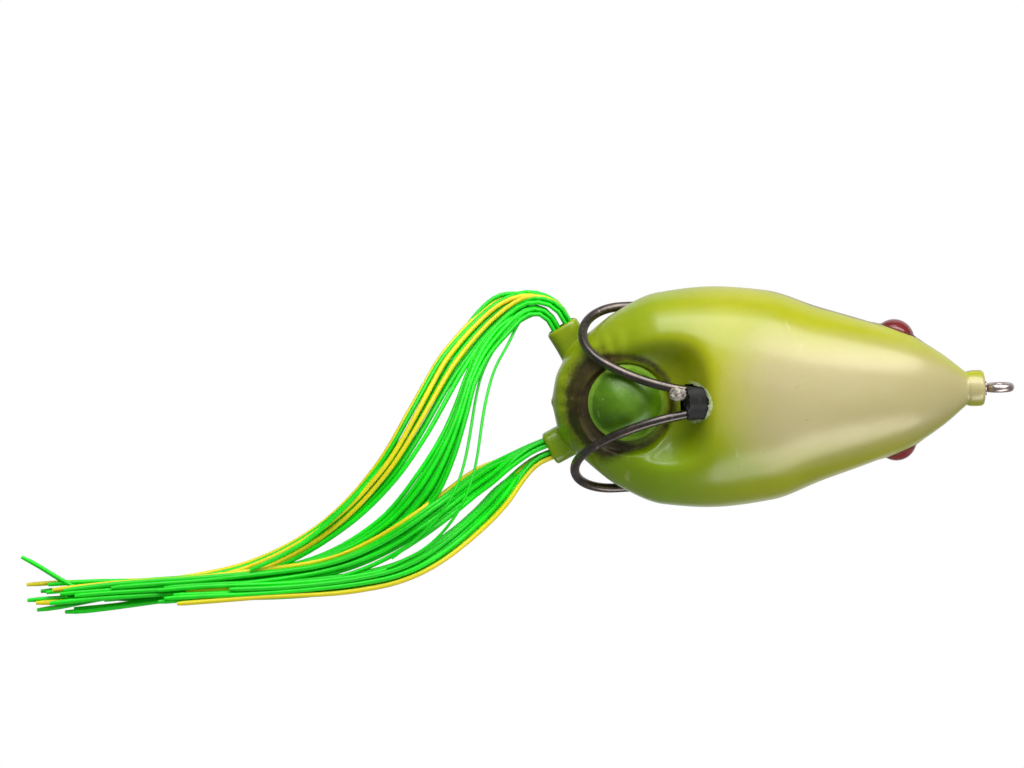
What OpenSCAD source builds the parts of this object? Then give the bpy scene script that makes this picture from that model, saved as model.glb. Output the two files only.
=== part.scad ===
// Hollow-body frog lure: a soft hollow body on a double hook, with a tail weight and two strand skirts.
// Millimetres. +X is the nose, +Z the back, and the origin is the centre of the line-tie eye.

/* [Body] */
// Half width of the body at its widest
body_half_w = 15.3; // [14.8:0.1:16]
// Height of the back above the nose line
back_h = 10.3; // [10:0.1:11]
// Depth of the belly below the nose line
belly_d = 12.2; // [12.1:0.1:12.8]
// Thickness of the soft wall
wall = 1.2; // [1:0.1:1.4]
// Radius of the nose collar
collar_r = 2.5; // [2.3:0.1:2.8]
// Length of the nose collar
collar_len = 2.4; // [2:0.1:2.8]
// Radius of a leg socket
leg_r = 2.35; // [2.3:0.05:2.5]
// Radius of the hole in a leg socket
leg_hole_r = 1.95; // [1.9:0.05:2]

/* [Hook] */
// Diameter of the hook wire
wire_d = 1.3; // [1.2:0.05:1.35]
// Outer radius of the line-tie eye
eye_ring_r = 2.1; // [2:0.05:2.1]
// Radius of the hole that the line goes through
line_hole_r = 0.9; // [0.85:0.05:0.95]
// Slope of the shanks down from the nose, degrees
shank_slope = 13.5; // [13.2:0.1:13.8]
// Lean of each hook out from upright, degrees
hook_lean = 36; // [35.5:0.25:36.5]
// Half the distance between the two shanks
shank_half_gap = 1.1; // [1.05:0.05:1.15]
// Radius of the long lower bend
long_bend_r = 22; // [21.5:0.25:22.5]
// Radius of the tight upper bend
tight_bend_r = 7.2; // [7:0.1:7.4]
// Length of a point, from the bend to the tip
point_len = 10; // [9:0.25:11]

/* [Weight and eyes] */
// Radius of the tail weight's dome
weight_r = 5.25; // [5:0.05:5.3]
// Height of the tail weight's dome
weight_dome_h = 3.1; // [2.8:0.1:3.2]
// Radius of an eye
frog_eye_r = 2.5; // [2.3:0.1:2.6]

/* [Hidden] */

gap = 0.05;             // room between pieces that meet
groove_gap = 0.15;      // room round a hook wire where it lies in the body's flank
ring_sides = 32;        // points round one section of the body
wire_r = wire_d / 2;
eye_mid_r = (eye_ring_r + line_hole_r) / 2;
eye_wire_r = (eye_ring_r - line_hole_r) / 2 + 0.03;
collar_x = -eye_ring_r; // front face of the nose collar
shank_len = 38.6;       // from the eye's centre to the start of the bends, along the shanks
long_bend_a = 50;       // how far the long bend turns
tip_len = 2.8;
tip_r = 0.08;

// Outline of the body: x, then half width, back height and belly depth as shares of the largest
STATIONS = [
    [-4.6, 0.15, 0.22, 0.19], [-8, 0.33, 0.43, 0.38], [-12, 0.49, 0.62, 0.54], [-18, 0.64, 0.80, 0.70],
    [-25, 0.79, 0.91, 0.85], [-32, 0.95, 0.98, 0.96], [-40, 1.00, 1.00, 1.00], [-47, 0.96, 0.93, 0.89],
    [-53, 0.79, 0.80, 0.66], [-58, 0.52, 0.60, 0.43], [-61, 0.28, 0.37, 0.25], [-62.1, 0.08, 0.13, 0.10]];
section_power = 2.2;    // 2 is an ellipse, more is squarer

// The dished part of the belly, where the weight sits and the hooks come out
dish_x = -51;
dish_z = -5.4;
dish_rx = 9.5;
dish_ry = 9;
dish_edge = 6;          // how far the dish's floor has dropped at dish_rx or dish_ry
dish_soft = 1;          // how softly the dish meets the belly

slot_front = -39.5;
slot_len = 6.1;
slot_w = 5.5;

weight_x = -51.9;
weight_rim_z = -5.4;
weight_neck_r = 3;
weight_flange_r = 4.2;

sleeve_front = 33;      // along the shanks
sleeve_back = 45.2;
sleeve_w = 4.6;
sleeve_t = 2.4;

// Each leg's mouth, and the direction that it points in, degrees from +X
leg_z = 3.8;
leg_mouth = [[-62.6, 7.0], [-60.4, -10.3]];
leg_angle = [153, 239];
leg_len = 7;

// Each eye's centre and the way it looks
frog_eye_pos = [-13.9, 8.0, 1.4];
frog_eye_yaw = 68;      // out from the nose
frog_eye_up = 5;
frog_eye_dome_h = 1.5;
frog_eye_foil_t = 0.3;
frog_eye_cup_t = 0.9;
frog_eye_cup_wall = 0.3;

bundle_half_w = 1.5;
bundle_half_h = 0.95;
bundle_root_w = 0.9;
bundle_root_h = 1.6;
bundle_sides = 12;

// Routes of the skirt bundles, chosen by hand: out of the legs, down, and along the floor
LEFT_INNER = [[-63.1, 6.2, 3.8], [-65, 7.1, 3.5], [-67.3, 8.4, 2.2], [-69.6, 9.8, 0], [-71.9, 11.3, -3],
    [-74.4, 12.9, -6.6], [-77.5, 15, -9.8], [-81.5, 17.6, -11.2], [-86, 20.1, -11.2], [-91, 21.9, -11.2],
    [-97, 22.9, -11.2], [-104, 23.4, -11.2], [-112, 23.7, -11.2], [-122, 24, -11.2], [-132, 24.6, -11.2]];
LEFT_OUTER = [[-62.3, 7.9, 3.8], [-64.1, 8.9, 3.5], [-66.2, 10.7, 2.4], [-68.2, 13, 0.2], [-70.3, 15.4, -2.8],
    [-72.8, 17.9, -6.4], [-75.8, 20.3, -9.6], [-79.4, 22.8, -11.1], [-84, 25, -11.2], [-89.5, 26.2, -11.2],
    [-96, 26.7, -11.2], [-104, 26.9, -11.2], [-112, 27, -11.2], [-117, 27.2, -11.2]];
RIGHT_INNER = [[-61.2, -9.9, 3.8], [-62, -11.3, 3.8], [-63.3, -12.2, 3.7], [-64.9, -12.2, 3.5],
    [-66.6, -11.3, 3], [-68.3, -9.7, 2], [-70, -7.4, 0.4], [-71.8, -4, -1.9], [-73.3, 0, -4.3], [-75, 4.6, -6.6],
    [-77.1, 8.8, -8.2], [-79.8, 12.8, -9], [-83, 16.4, -9.1], [-87.5, 20, -9.1], [-92.5, 22.8, -9.1],
    [-98, 24.7, -9.1], [-105, 25.9, -9.1], [-114, 26.5, -9.1], [-123, 26.8, -9.1], [-132, 27.2, -9.1]];
RIGHT_OUTER = [[-59.6, -10.9, 3.8], [-60.6, -12.7, 3.9], [-62.4, -14, 3.9], [-64.8, -14.3, 3.8],
    [-67.2, -13.4, 3.4], [-69.4, -11.8, 2.6], [-72, -9.2, 1], [-74.6, -6, -1.2], [-77, -2.5, -3.7],
    [-79.4, 1.5, -6], [-82, 5.8, -7.8], [-85, 10.1, -8.8], [-89, 14.2, -9.1], [-94, 17.8, -9.1],
    [-100, 20.6, -9.1], [-107, 22.4, -9.1], [-115, 23.2, -9.1], [-125, 23.5, -9.1], [-135.4, 23.9, -9.1]];

// ---- Curves ----

// Value of a smooth curve through the stations at x, for one column of the table
function slope(k, c) = (STATIONS[k + 1][c] - STATIONS[k][c]) / (STATIONS[k + 1][0] - STATIONS[k][0]);
function tangent(k, c) =
    let (n = len(STATIONS) - 1)
    k == 0 ? slope(0, c) : k == n ? slope(n - 1, c) :
    slope(k - 1, c) * slope(k, c) <= 0 ? 0 : 2 / (1 / slope(k - 1, c) + 1 / slope(k, c));
function between(k, t, c) =
    let (h = STATIONS[k + 1][0] - STATIONS[k][0], t2 = t * t, t3 = t2 * t)
    (2 * t3 - 3 * t2 + 1) * STATIONS[k][c] + (t3 - 2 * t2 + t) * h * tangent(k, c)
    + (3 * t2 - 2 * t3) * STATIONS[k + 1][c] + (t3 - t2) * h * tangent(k + 1, c);

// The higher of two levels, with a soft step between them
function soft_max(a, b) = (a + b + sqrt((a - b) * (a - b) + dish_soft * dish_soft)) / 2;
function dish_floor(x, y) = dish_z - dish_edge * (pow((x - dish_x) / dish_rx, 4) + pow(y / dish_ry, 4));

function signed_pow(v, p) = sign(v) * pow(abs(v), p);

// One point of the body's skin, moved in by inset, at angle a round station k + t
function skin_point(k, t, a, inset) =
    let (x = STATIONS[k][0] + t * (STATIONS[k + 1][0] - STATIONS[k][0]),
         w = between(k, t, 1) * body_half_w - inset,
         up = between(k, t, 2) * back_h - inset,
         down = between(k, t, 3) * belly_d - inset,
         y = w * signed_pow(cos(a), 2 / section_power),
         z = (a < 180 ? up : down) * signed_pow(sin(a), 2 / section_power))
    [x, y, a < 180 ? z : soft_max(z, dish_floor(x, y) + inset)];

// The body's skin as rings of points, closed at both ends
module skin(inset, first, last, steps) {
    stops = [for (k = [first:last - 1], i = [0:steps - 1]) [k, i / steps], [last - 1, 1]];
    rings = [for (s = stops) [for (i = [0:ring_sides - 1])
        skin_point(s[0], s[1], (i + 0.5) * 360 / ring_sides, inset)]];
    tube_between(rings);
}

// A closed solid through rings that all have the same number of points
module tube_between(rings) {
    n = len(rings[0]);
    last = len(rings) - 1;
    points = [for (r = rings, p = r) p];
    sides = [for (j = [0:last - 1], i = [0:n - 1], half = [0, 1])
        let (a = j * n + i, b = j * n + (i + 1) % n)
        half == 0 ? [a, b, a + n] : [b, b + n, a + n]];
    polyhedron(points, concat(sides, [[for (i = [n - 1:-1:0]) i], [for (i = [0:n - 1]) last * n + i]]));
}

function unit(v) = v / norm(v);
function along(path, j) = unit(path[min(j + 1, len(path) - 1)] - path[max(j - 1, 0)]);

// A bundle of strands as an oval tube along its route, tall in the socket and flat on the floor
module bundle(path) {
    rings = [for (j = [0:len(path) - 1])
        let (d = along(path, j), side = unit(cross([0, 0, 1], d)), top = cross(d, side),
             open = max(0, min((j - 2) / 5, 1)),
             w = bundle_root_w + open * (bundle_half_w - bundle_root_w),
             h = bundle_root_h + open * (bundle_half_h - bundle_root_h))
        [for (i = [0:bundle_sides - 1])
            let (a = -i * 360 / bundle_sides) path[j] + side * w * cos(a) + top * h * sin(a)]];
    tube_between(rings);
}

// ---- Places ----

module at_leg(side) translate([leg_mouth[side][0], leg_mouth[side][1], leg_z])
    rotate([0, 0, leg_angle[side]]) rotate([0, 90, 0]) children();

// side is 1 for the left eye and -1 for the right one; +Z is the way the eye looks
module at_frog_eye(side) translate([frog_eye_pos[0], side * frog_eye_pos[1], frog_eye_pos[2]])
    rotate([0, 0, side * frog_eye_yaw]) rotate([0, 90 - frog_eye_up, 0]) children();

// The shanks' own frame: -X runs back along them
module on_shanks() rotate([0, -shank_slope, 0]) children();

// ---- Body ----

module body_shell() color([0.66, 0.72, 0.2]) {
    difference() {
        union() {
            skin(0, 0, 11, 3);
            translate([collar_x - collar_len, 0, 0]) rotate([0, 90, 0]) cylinder(r = collar_r, h = collar_len);
            translate([-6, 0, 0]) rotate([0, 90, 0]) cylinder(r = collar_r - 0.3, h = 6 + collar_x - 0.2);
            for (side = [0, 1]) at_leg(side) translate([0, 0, -leg_len]) cylinder(r = leg_r, h = leg_len);
        }
        skin(wall, 1, 10, 2);
        on_shanks() for (side = [1, -1]) hook_wire(side, groove_gap);
        on_shanks() translate([-9, 0, 0]) rotate([0, 90, 0]) shank_pair(wire_r + gap, 10);
        for (side = [0, 1]) at_leg(side) translate([0, 0, -leg_len - 1]) cylinder(r = leg_hole_r, h = leg_len + 2);
        translate([slot_front - slot_len + slot_w / 2, 0, -belly_d - 2]) slot_cut();
        translate([weight_x, 0, weight_rim_z - 4]) cylinder(r = weight_r + 0.4, h = 4 - gap);
        translate([weight_x, 0, -12]) cylinder(r = weight_neck_r + gap, h = 11);
        for (side = [1, -1]) at_frog_eye(side)
            translate([0, 0, -frog_eye_cup_t - gap]) cylinder(r = frog_eye_r + frog_eye_cup_wall + gap, h = 4);
    }
}

module slot_cut() {
    cylinder(d = slot_w, h = 9);
    translate([0, -slot_w / 2, 0]) cube([slot_len - slot_w, slot_w, 9]);
    translate([slot_len - slot_w, 0, 0]) cylinder(d = slot_w, h = 9);
}

// The room that two shanks side by side take up, where they meet at the nose
module shank_pair(r, h) {
    for (side = [1, -1]) translate([0, side * 0.62, 0]) cylinder(r = r, h = h);
    translate([-r, -0.62, 0]) cube([2 * r, 1.24, h]);
}

// A bead of sealant round the shanks behind the nose, which keeps water out
module nose_seal() color([0.75, 0.75, 0.5]) on_shanks() translate([-11.7, 0, 0]) rotate([0, 90, 0]) difference() {
    cylinder(r = 1.7, h = 2.2);
    translate([0, 0, -1]) shank_pair(wire_r + gap, 5);
}

// ---- Hook ----

module double_hook() color([0.33, 0.3, 0.29]) {
    on_shanks() {
        difference() {
            rotate([90, 0, 0]) rotate_extrude($fn = 48) translate([eye_mid_r, 0]) circle(r = eye_wire_r, $fn = 24);
            rotate([90, 0, 0]) cylinder(r = line_hole_r, h = 4, center = true, $fn = 48);
        }
        for (side = [1, -1]) hook_wire(side, 0);
    }
}

// One wire: beside its twin at the nose, out to its own line, and round into the hook
function wire_path(side) =
    let (tight = [shank_len + (long_bend_r - tight_bend_r) * sin(long_bend_a),
                  long_bend_r - (long_bend_r - tight_bend_r) * cos(long_bend_a)],
         flat = concat(
            [for (i = [0:10]) let (a = long_bend_a * i / 10)
                [shank_len + long_bend_r * sin(a), long_bend_r * (1 - cos(a))]],
            [for (i = [1:12]) let (a = long_bend_a + (180 - long_bend_a) * i / 12)
                [tight[0] + tight_bend_r * sin(a), tight[1] - tight_bend_r * cos(a)]],
            [for (i = [1:4]) [tight[0] - i * (point_len - tip_len) / 4, tight[1] + tight_bend_r]],
            [[tight[0] - point_len, tight[1] + tight_bend_r]]))
    concat(
        [for (i = [0:6]) let (u = 2 + i * 5) [-u, side * (0.35 + (shank_half_gap - 0.35) * smooth(i / 4)), 0]],
        [for (p = flat) [-p[0], side * (shank_half_gap + p[1] * sin(hook_lean)), p[1] * cos(hook_lean)]]);
function smooth(t) = let (u = min(t, 1)) u * u * (3 - 2 * u);

// A wire, or with grow the groove that it lies in
module hook_wire(side, grow) {
    path = wire_path(side);
    last = len(path) - 1;
    across = [0, cos(hook_lean), -side * sin(hook_lean)];
    rings = [for (j = [0:last])
        let (d = along(path, j), n = unit(cross(across, d)), r = grow + (j == last ? tip_r : wire_r))
        [for (i = [0:11]) let (a = i * 30) path[j] + across * r * cos(a) + n * r * sin(a)]];
    tube_between(rings);
}

// Heat-shrink tube that binds the two shanks where they leave the body
module hook_sleeve() color([0.05, 0.05, 0.05]) on_shanks() difference() {
    translate([0, 0, 0.1]) rotate([0, -90, 0]) translate([0, 0, sleeve_front]) union() {
        for (side = [1, -1]) translate([0, side * (sleeve_w - sleeve_t) / 2, 0])
            cylinder(d = sleeve_t, h = sleeve_back - sleeve_front);
        translate([-sleeve_t / 2, -(sleeve_w - sleeve_t) / 2, 0])
            cube([sleeve_t, sleeve_w - sleeve_t, sleeve_back - sleeve_front]);
    }
    for (side = [1, -1]) translate([-50, side * shank_half_gap, 0]) rotate([0, 90, 0]) cylinder(r = wire_r, h = 20);
}

// A bead of set glue behind the sleeve, round one shank
module hook_glue() color([0.6, 0.58, 0.53]) on_shanks() difference() {
    translate([-sleeve_back - 0.9, -shank_half_gap - 0.3, 0.5]) sphere(r = 1.15);
    translate([-50, -shank_half_gap - 0.4, 0.5]) rotate([0, 90, 0]) cylinder(r = wire_r, h = 20);
    translate([-sleeve_back, -5, -5]) cube(10);
}

// ---- Weight ----

module tail_weight() color([0.3, 0.55, 0.1]) {
    dome_r = (weight_r * weight_r + weight_dome_h * weight_dome_h) / (2 * weight_dome_h);
    translate([weight_x, 0, weight_rim_z]) union() {
        intersection() {
            translate([0, 0, dome_r - weight_dome_h]) sphere(r = dome_r, $fn = 64);
            translate([0, 0, -weight_dome_h - 1]) cylinder(r = weight_r, h = weight_dome_h + 1 - 0.2, $fn = 64);
        }
        translate([0, 0, -0.5]) cylinder(r = weight_neck_r, h = 4.5, $fn = 48);
        translate([0, 0, 2.4]) cylinder(r = weight_flange_r, h = 1.6, $fn = 48);
    }
}

// Washer that clamps the wall between itself and the dome
module weight_ring() color([0.75, 0.62, 0.3]) translate([weight_x, 0, weight_rim_z + 1.75]) difference() {
    cylinder(r = weight_flange_r, h = 0.6, $fn = 48);
    translate([0, 0, -1]) cylinder(r = weight_neck_r + gap, h = 3, $fn = 48);
}

// ---- Eyes ----

module eye_cup(side) at_frog_eye(side) translate([0, 0, -frog_eye_cup_t]) difference() {
    cylinder(r = frog_eye_r + frog_eye_cup_wall, h = frog_eye_cup_t + frog_eye_foil_t);
    translate([0, 0, frog_eye_cup_t]) cylinder(r = frog_eye_r + 0.02, h = 2);
}
module eye_foil(side) at_frog_eye(side) cylinder(r = frog_eye_r, h = frog_eye_foil_t);
module eye_dome(side) {
    h = frog_eye_dome_h;
    r = (frog_eye_r * frog_eye_r + h * h) / (2 * h);
    at_frog_eye(side) translate([0, 0, frog_eye_foil_t]) intersection() {
        translate([0, 0, h - r]) sphere(r = r, $fn = 48);
        cylinder(r = frog_eye_r, h = h + 1, $fn = 48);
    }
}
module eye_cup_left() color([0.3, 0.12, 0.1]) eye_cup(1);
module eye_cup_right() color([0.3, 0.12, 0.1]) eye_cup(-1);
module eye_foil_left() color([0.6, 0.1, 0.1]) eye_foil(1);
module eye_foil_right() color([0.6, 0.1, 0.1]) eye_foil(-1);
module eye_dome_left() color([0.75, 0.2, 0.2]) eye_dome(1);
module eye_dome_right() color([0.75, 0.2, 0.2]) eye_dome(-1);

// ---- Skirts ----

// Crimped band inside a leg, which grips the strands
module skirt_band(side) at_leg(side) translate([0, 0, -4.6]) cylinder(r = leg_hole_r - 0.02, h = 3.2);
module skirt_band_left() color([0.2, 0.2, 0.2]) skirt_band(0);
module skirt_band_right() color([0.2, 0.2, 0.2]) skirt_band(1);
module skirt_left_inner() color([0.1, 0.75, 0.1]) bundle(LEFT_INNER);
module skirt_left_outer() color([0.1, 0.65, 0.1]) bundle(LEFT_OUTER);
module skirt_right_inner() color([0.2, 0.8, 0.1]) bundle(RIGHT_INNER);
module skirt_right_outer() color([0.8, 0.75, 0.1]) bundle(RIGHT_OUTER);

$fn = 48;
body_shell();
double_hook();
hook_sleeve();
hook_glue();
nose_seal();
tail_weight();
weight_ring();
eye_cup_left();
eye_cup_right();
eye_foil_left();
eye_foil_right();
eye_dome_left();
eye_dome_right();
skirt_band_left();
skirt_band_right();
skirt_left_inner();
skirt_left_outer();
skirt_right_inner();
skirt_right_outer();
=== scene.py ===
"""Hollow-body frog lure: its looks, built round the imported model.

Shapes are worked out in millimetres, with +X at the nose, +Z at the back and the origin in the line-tie eye,
and become metres in new_piece. Sizes with a unit, in the property groups, are in metres.
"""

import math

import bpy
import numpy as np
from mathutils import Matrix, Vector


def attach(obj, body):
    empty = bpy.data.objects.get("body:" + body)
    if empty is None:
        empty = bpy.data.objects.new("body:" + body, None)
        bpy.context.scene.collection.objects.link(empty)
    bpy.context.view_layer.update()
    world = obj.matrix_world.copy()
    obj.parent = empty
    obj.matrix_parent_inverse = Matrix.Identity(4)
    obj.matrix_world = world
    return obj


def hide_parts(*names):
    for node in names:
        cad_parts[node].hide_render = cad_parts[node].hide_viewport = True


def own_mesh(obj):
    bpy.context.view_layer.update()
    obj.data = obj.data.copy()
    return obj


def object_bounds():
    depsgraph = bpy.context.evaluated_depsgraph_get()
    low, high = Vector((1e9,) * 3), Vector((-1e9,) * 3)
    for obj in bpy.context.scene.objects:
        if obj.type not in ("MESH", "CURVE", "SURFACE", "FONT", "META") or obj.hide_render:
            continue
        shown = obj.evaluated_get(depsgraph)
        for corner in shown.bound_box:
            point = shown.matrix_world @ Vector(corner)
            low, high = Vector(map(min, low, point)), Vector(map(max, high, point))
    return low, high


bl_info = {
    "name": "Hollow Frog Lure",
    "version": (1, 0, 0),
    "blender": (4, 5, 0),
    "location": "View3D > Sidebar > Frog Lure",
    "description": "Builds a hollow-body frog lure with its double hook, weight, eyes and strand skirts",
    "category": "Add Mesh",
}

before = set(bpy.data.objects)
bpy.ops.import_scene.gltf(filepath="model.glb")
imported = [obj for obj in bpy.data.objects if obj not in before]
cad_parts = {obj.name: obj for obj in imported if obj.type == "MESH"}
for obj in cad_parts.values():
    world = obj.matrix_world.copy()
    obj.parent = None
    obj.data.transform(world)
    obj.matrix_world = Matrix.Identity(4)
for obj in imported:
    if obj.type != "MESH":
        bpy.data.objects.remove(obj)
CAD_BOX = [list(corner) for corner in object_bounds()]
MM = 0.001
TURN = 2 * math.pi

# Outline of the body: x, then half width, back height and belly depth as shares of the largest
STATIONS = np.array([
    [-4.6, 0.15, 0.22, 0.19], [-8, 0.33, 0.43, 0.38], [-12, 0.49, 0.62, 0.54], [-18, 0.64, 0.80, 0.70],
    [-25, 0.79, 0.91, 0.85], [-32, 0.95, 0.98, 0.96], [-40, 1.00, 1.00, 1.00], [-47, 0.96, 0.93, 0.89],
    [-53, 0.79, 0.80, 0.66], [-58, 0.52, 0.60, 0.43], [-61, 0.28, 0.37, 0.25], [-62.1, 0.08, 0.13, 0.10]])
SECTION_POWER = 2.2
DISH = {"x": -51, "z": -5.4, "rx": 9.5, "ry": 9, "edge": 6, "soft": 2.6}
WEIGHT_X = -51.9
WEIGHT_RIM_Z = -5.4
POCKET = {"y": 0.8, "r": 6.1, "z": -4.9}
SLOT = {"front": -40.9, "back": -45.6, "width": 5.0}

# Section of the nose: x and radius, from the bottom of the bore out round the collar
NOSE = [
    (-6.6, 0.9), (-2.6, 0.95), (-2.3, 1.0), (-2.15, 1.12), (-2.1, 1.3), (-2.1, 1.7), (-2.12, 2.0),
    (-2.2, 2.24), (-2.36, 2.4), (-2.6, 2.48), (-3.0, 2.5), (-3.6, 2.49), (-4.05, 2.46), (-4.3, 2.41),
    (-4.46, 2.34),
]

# Each leg's mouth and the direction that it points in, degrees from +X
LEG_Z = 3.8
LEGS = {"left": ((-62.6, 7.0), 153), "right": ((-60.4, -10.3), 239)}
LEG_LENGTH = 7

# How much farther back the bends of the left wire (1) and the right wire (-1) start
UNEVEN_BENDS = {1: 1.2, -1: -0.5}

EYE_CENTRE = (-13.9, 8.0, 1.4)
EYE_YAW = 68
EYE_UP = 5

# Routes of the skirt bundles: out of the legs, down, and along the floor
ROUTES = {
    "left_inner": [
        [-63.1, 6.2, 3.8], [-65, 7.1, 3.5], [-67.3, 8.4, 2.2], [-69.6, 9.8, 0], [-71.9, 11.3, -3],
        [-74.4, 12.9, -6.6], [-77.5, 15, -9.8], [-81.5, 17.6, -11.2], [-86, 20.1, -11.2],
        [-91, 21.9, -11.2], [-97, 22.9, -11.2], [-104, 23.4, -11.2], [-112, 23.7, -11.2],
        [-122, 24, -11.2], [-132, 24.6, -11.2],
    ],
    "left_outer": [
        [-62.3, 7.9, 3.8], [-64.1, 8.9, 3.5], [-66.2, 10.7, 2.4], [-68.2, 13, 0.2], [-70.3, 15.4, -2.8],
        [-72.8, 17.9, -6.4], [-75.8, 20.3, -9.6], [-79.4, 22.8, -11.1], [-84, 25, -11.2],
        [-89.5, 26.2, -11.2], [-96, 26.7, -11.2], [-104, 26.9, -11.2], [-112, 27, -11.2],
        [-117, 27.2, -11.2],
    ],
    "right_inner": [
        [-61.2, -9.9, 3.8], [-62, -11.3, 3.8], [-63.3, -12.2, 3.7], [-64.9, -12.2, 3.5],
        [-66.6, -11.3, 3], [-68.3, -9.7, 2], [-70, -7.4, 0.4], [-71.8, -4, -1.9], [-73.3, 0, -4.3],
        [-75, 4.6, -6.6], [-77.1, 8.8, -8.2], [-79.8, 12.8, -9], [-83, 16.4, -9.1], [-87.5, 20, -9.1],
        [-92.5, 22.8, -9.1], [-98, 24.7, -9.1], [-105, 25.9, -9.1], [-114, 26.5, -9.1],
        [-123, 26.8, -9.1], [-132, 27.2, -9.1],
    ],
    "right_outer": [
        [-59.6, -10.9, 3.8], [-60.6, -12.7, 3.9], [-62.4, -14, 3.9], [-64.8, -14.3, 3.8],
        [-67.2, -13.4, 3.4], [-69.4, -11.8, 2.6], [-72, -9.2, 1], [-74.6, -6, -1.2], [-77, -2.5, -3.7],
        [-79.4, 1.5, -6], [-82, 5.8, -7.8], [-85, 10.1, -8.8], [-89, 14.2, -9.1], [-94, 17.8, -9.1],
        [-100, 20.6, -9.1], [-107, 22.4, -9.1], [-115, 23.2, -9.1], [-125, 23.5, -9.1],
        [-135.4, 23.9, -9.1],
    ],
}

# How each bundle's strands lie against its route: distance along it, shift to the left, shift up and width
LIE = {
    "left_inner": [
        (0, 0, 0, 1), (9, -1, 0, 1), (17, -1.7, 0, 1.2), (25, -1.9, 0.3, 1.3), (35, -1.7, 0.8, 1.1),
        (44, -1.3, 0.9, 0.9), (60, -1, 0.9, 0.9),
    ],
    "left_outer": [
        (0, 0, 0, 1), (10, -1.6, 0, 1), (20, -2.5, 0, 1), (28, -2.9, 0, 1), (39, -3.3, -0.1, 0.9),
        (60, -3.4, -0.1, 0.9),
    ],
    "right_inner": [
        (0, 0, 0, 1), (10, -0.7, 0, 0.9), (17, -2.1, 0, 0.7), (24, -3.4, 0, 0.65), (30, -3, 0, 0.9),
        (38, -2.1, 0, 1.5), (45, -2.1, 0, 1.3), (54, -3, -0.1, 0.9), (66, -3.6, -0.1, 0.8),
        (90, -3.2, -0.1, 1.6),
    ],
    "right_outer": [
        (0, 0, 0, 1), (6, 0, 0, 1), (16, -0.9, 0, 1.2), (25, -1.8, 0, 1.5), (35, -1.9, 0.2, 1.5),
        (45, -2, 0.6, 1.2), (54, -1.5, 1, 0.9), (67, -0.6, 1, 0.8), (78, 0, 1, 0.8), (92, 0, 1, 1.7),
    ],
}

# How far the tips of two strands turn away from their bundles
STRAY_TIPS = {("right_outer", 0): -9.0, ("right_inner", 8): 1.2}

# Strands that leave their bundle: body, node that they stand for, radius and route
STRAYS = {
    "stray_low": ("right_inner", 0.2, [
        [-61.4, -10.5, 3.8], [-62.2, -12.1, 3.8], [-64.2, -12.4, 3.5], [-67.6, -8.6, 1.4],
        [-69.5, -5.5, -1], [-70.7, -2.5, -3.4], [-71.9, 2.7, -7], [-73.1, 8.5, -10], [-75.7, 14, -11.6],
        [-79.9, 18.3, -11.8], [-85.3, 20.9, -11.8],
    ]),
    "stray_mid": ("right_inner", 0.2, [
        [-61.5, -10.3, 3.6], [-62.3, -11.8, 3.6], [-65.7, -11.3, 3], [-68.3, -9.4, 1.8], [-70.3, -6.8, 0],
        [-71.9, -3.5, -2.6], [-72.8, 0.1, -5], [-73.7, 4.6, -7.9], [-75, 9.1, -10.3],
        [-76.9, 12.7, -11.6], [-79.9, 16, -11.8], [-84.6, 19.7, -11.8],
    ]),
    "stray_outer": ("right_outer", 0.3, [
        [-59.9, -11.2, 4], [-61.2, -12.9, 4], [-63.1, -14.1, 4], [-66, -14.9, 3.9], [-68.8, -14.8, 3.5],
        [-71.7, -12.8, 2.4], [-74.3, -9.7, 0.8], [-76.7, -5.2, -1.8], [-79.5, -0.5, -4.6],
        [-83, 4.2, -6.9], [-86.9, 8.8, -8.6], [-91.3, 13.1, -9.4], [-96.9, 17.5, -10], [-104, 20.8, -10.6],
    ]),
}

# ---- Curves and surfaces ----


def unit(v):
    """Vectors divided by their lengths."""
    return v / np.linalg.norm(v, axis=-1, keepdims=True)


def smoothstep(low, high, value):
    """0 at low, 1 at high, 3t² − 2t³ between."""
    t = np.clip((value - low) / (high - low), 0, 1)
    return t * t * (3 - 2 * t)


def signed_power(value, power):
    """sign(v) · |v|^power."""
    return np.sign(value) * np.abs(value) ** power


def smooth_route(points, count):
    """Natural cubic spline against chord length through the points, cut into count evenly spaced points.

    Between two points it is a·p0 + b·p1 + ((a³ − a)·c0 + (b³ − b)·c1)·h²/6, with b from 0 to 1 and a = 1 − b.
    """
    p = np.asarray(points, float)
    t = np.concatenate([[0], np.cumsum(np.linalg.norm(np.diff(p, axis=0), axis=1))])
    h = np.diff(t)
    k = np.arange(1, len(t) - 1)
    system = np.eye(len(t))
    system[k, k - 1] = h[:-1]
    system[k, k] = 2 * (h[:-1] + h[1:])
    system[k, k + 1] = h[1:]
    right = np.zeros_like(p)
    slopes = np.diff(p, axis=0) / h[:, None]
    right[1:-1] = 6 * np.diff(slopes, axis=0)
    c = np.linalg.solve(system, right)
    s = np.linspace(0, t[-1], 16 * count)
    i = np.clip(np.searchsorted(t, s, side="right") - 1, 0, len(t) - 2)
    b = ((s - t[i]) / h[i])[:, None]
    a = 1 - b
    fine = a * p[i] + b * p[i + 1] + ((a**3 - a) * c[i] + (b**3 - b) * c[i + 1]) * h[i, None] ** 2 / 6
    return even_steps(fine, count)


def even_steps(points, count):
    """The same line cut into count points at equal distances along it."""
    run = np.concatenate([[0], np.cumsum(np.linalg.norm(np.diff(points, axis=0), axis=1))])
    at = np.linspace(0, run[-1], count)
    return np.stack([np.interp(at, run, points[:, c]) for c in range(3)], axis=1)


def line_length(points):
    """Sum of the distances between neighbouring points."""
    return float(np.linalg.norm(np.diff(points, axis=0), axis=1).sum())


def directions(path):
    """Unit vectors along a path, from each point's two neighbours."""
    return unit(np.gradient(path, axis=0))


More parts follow.
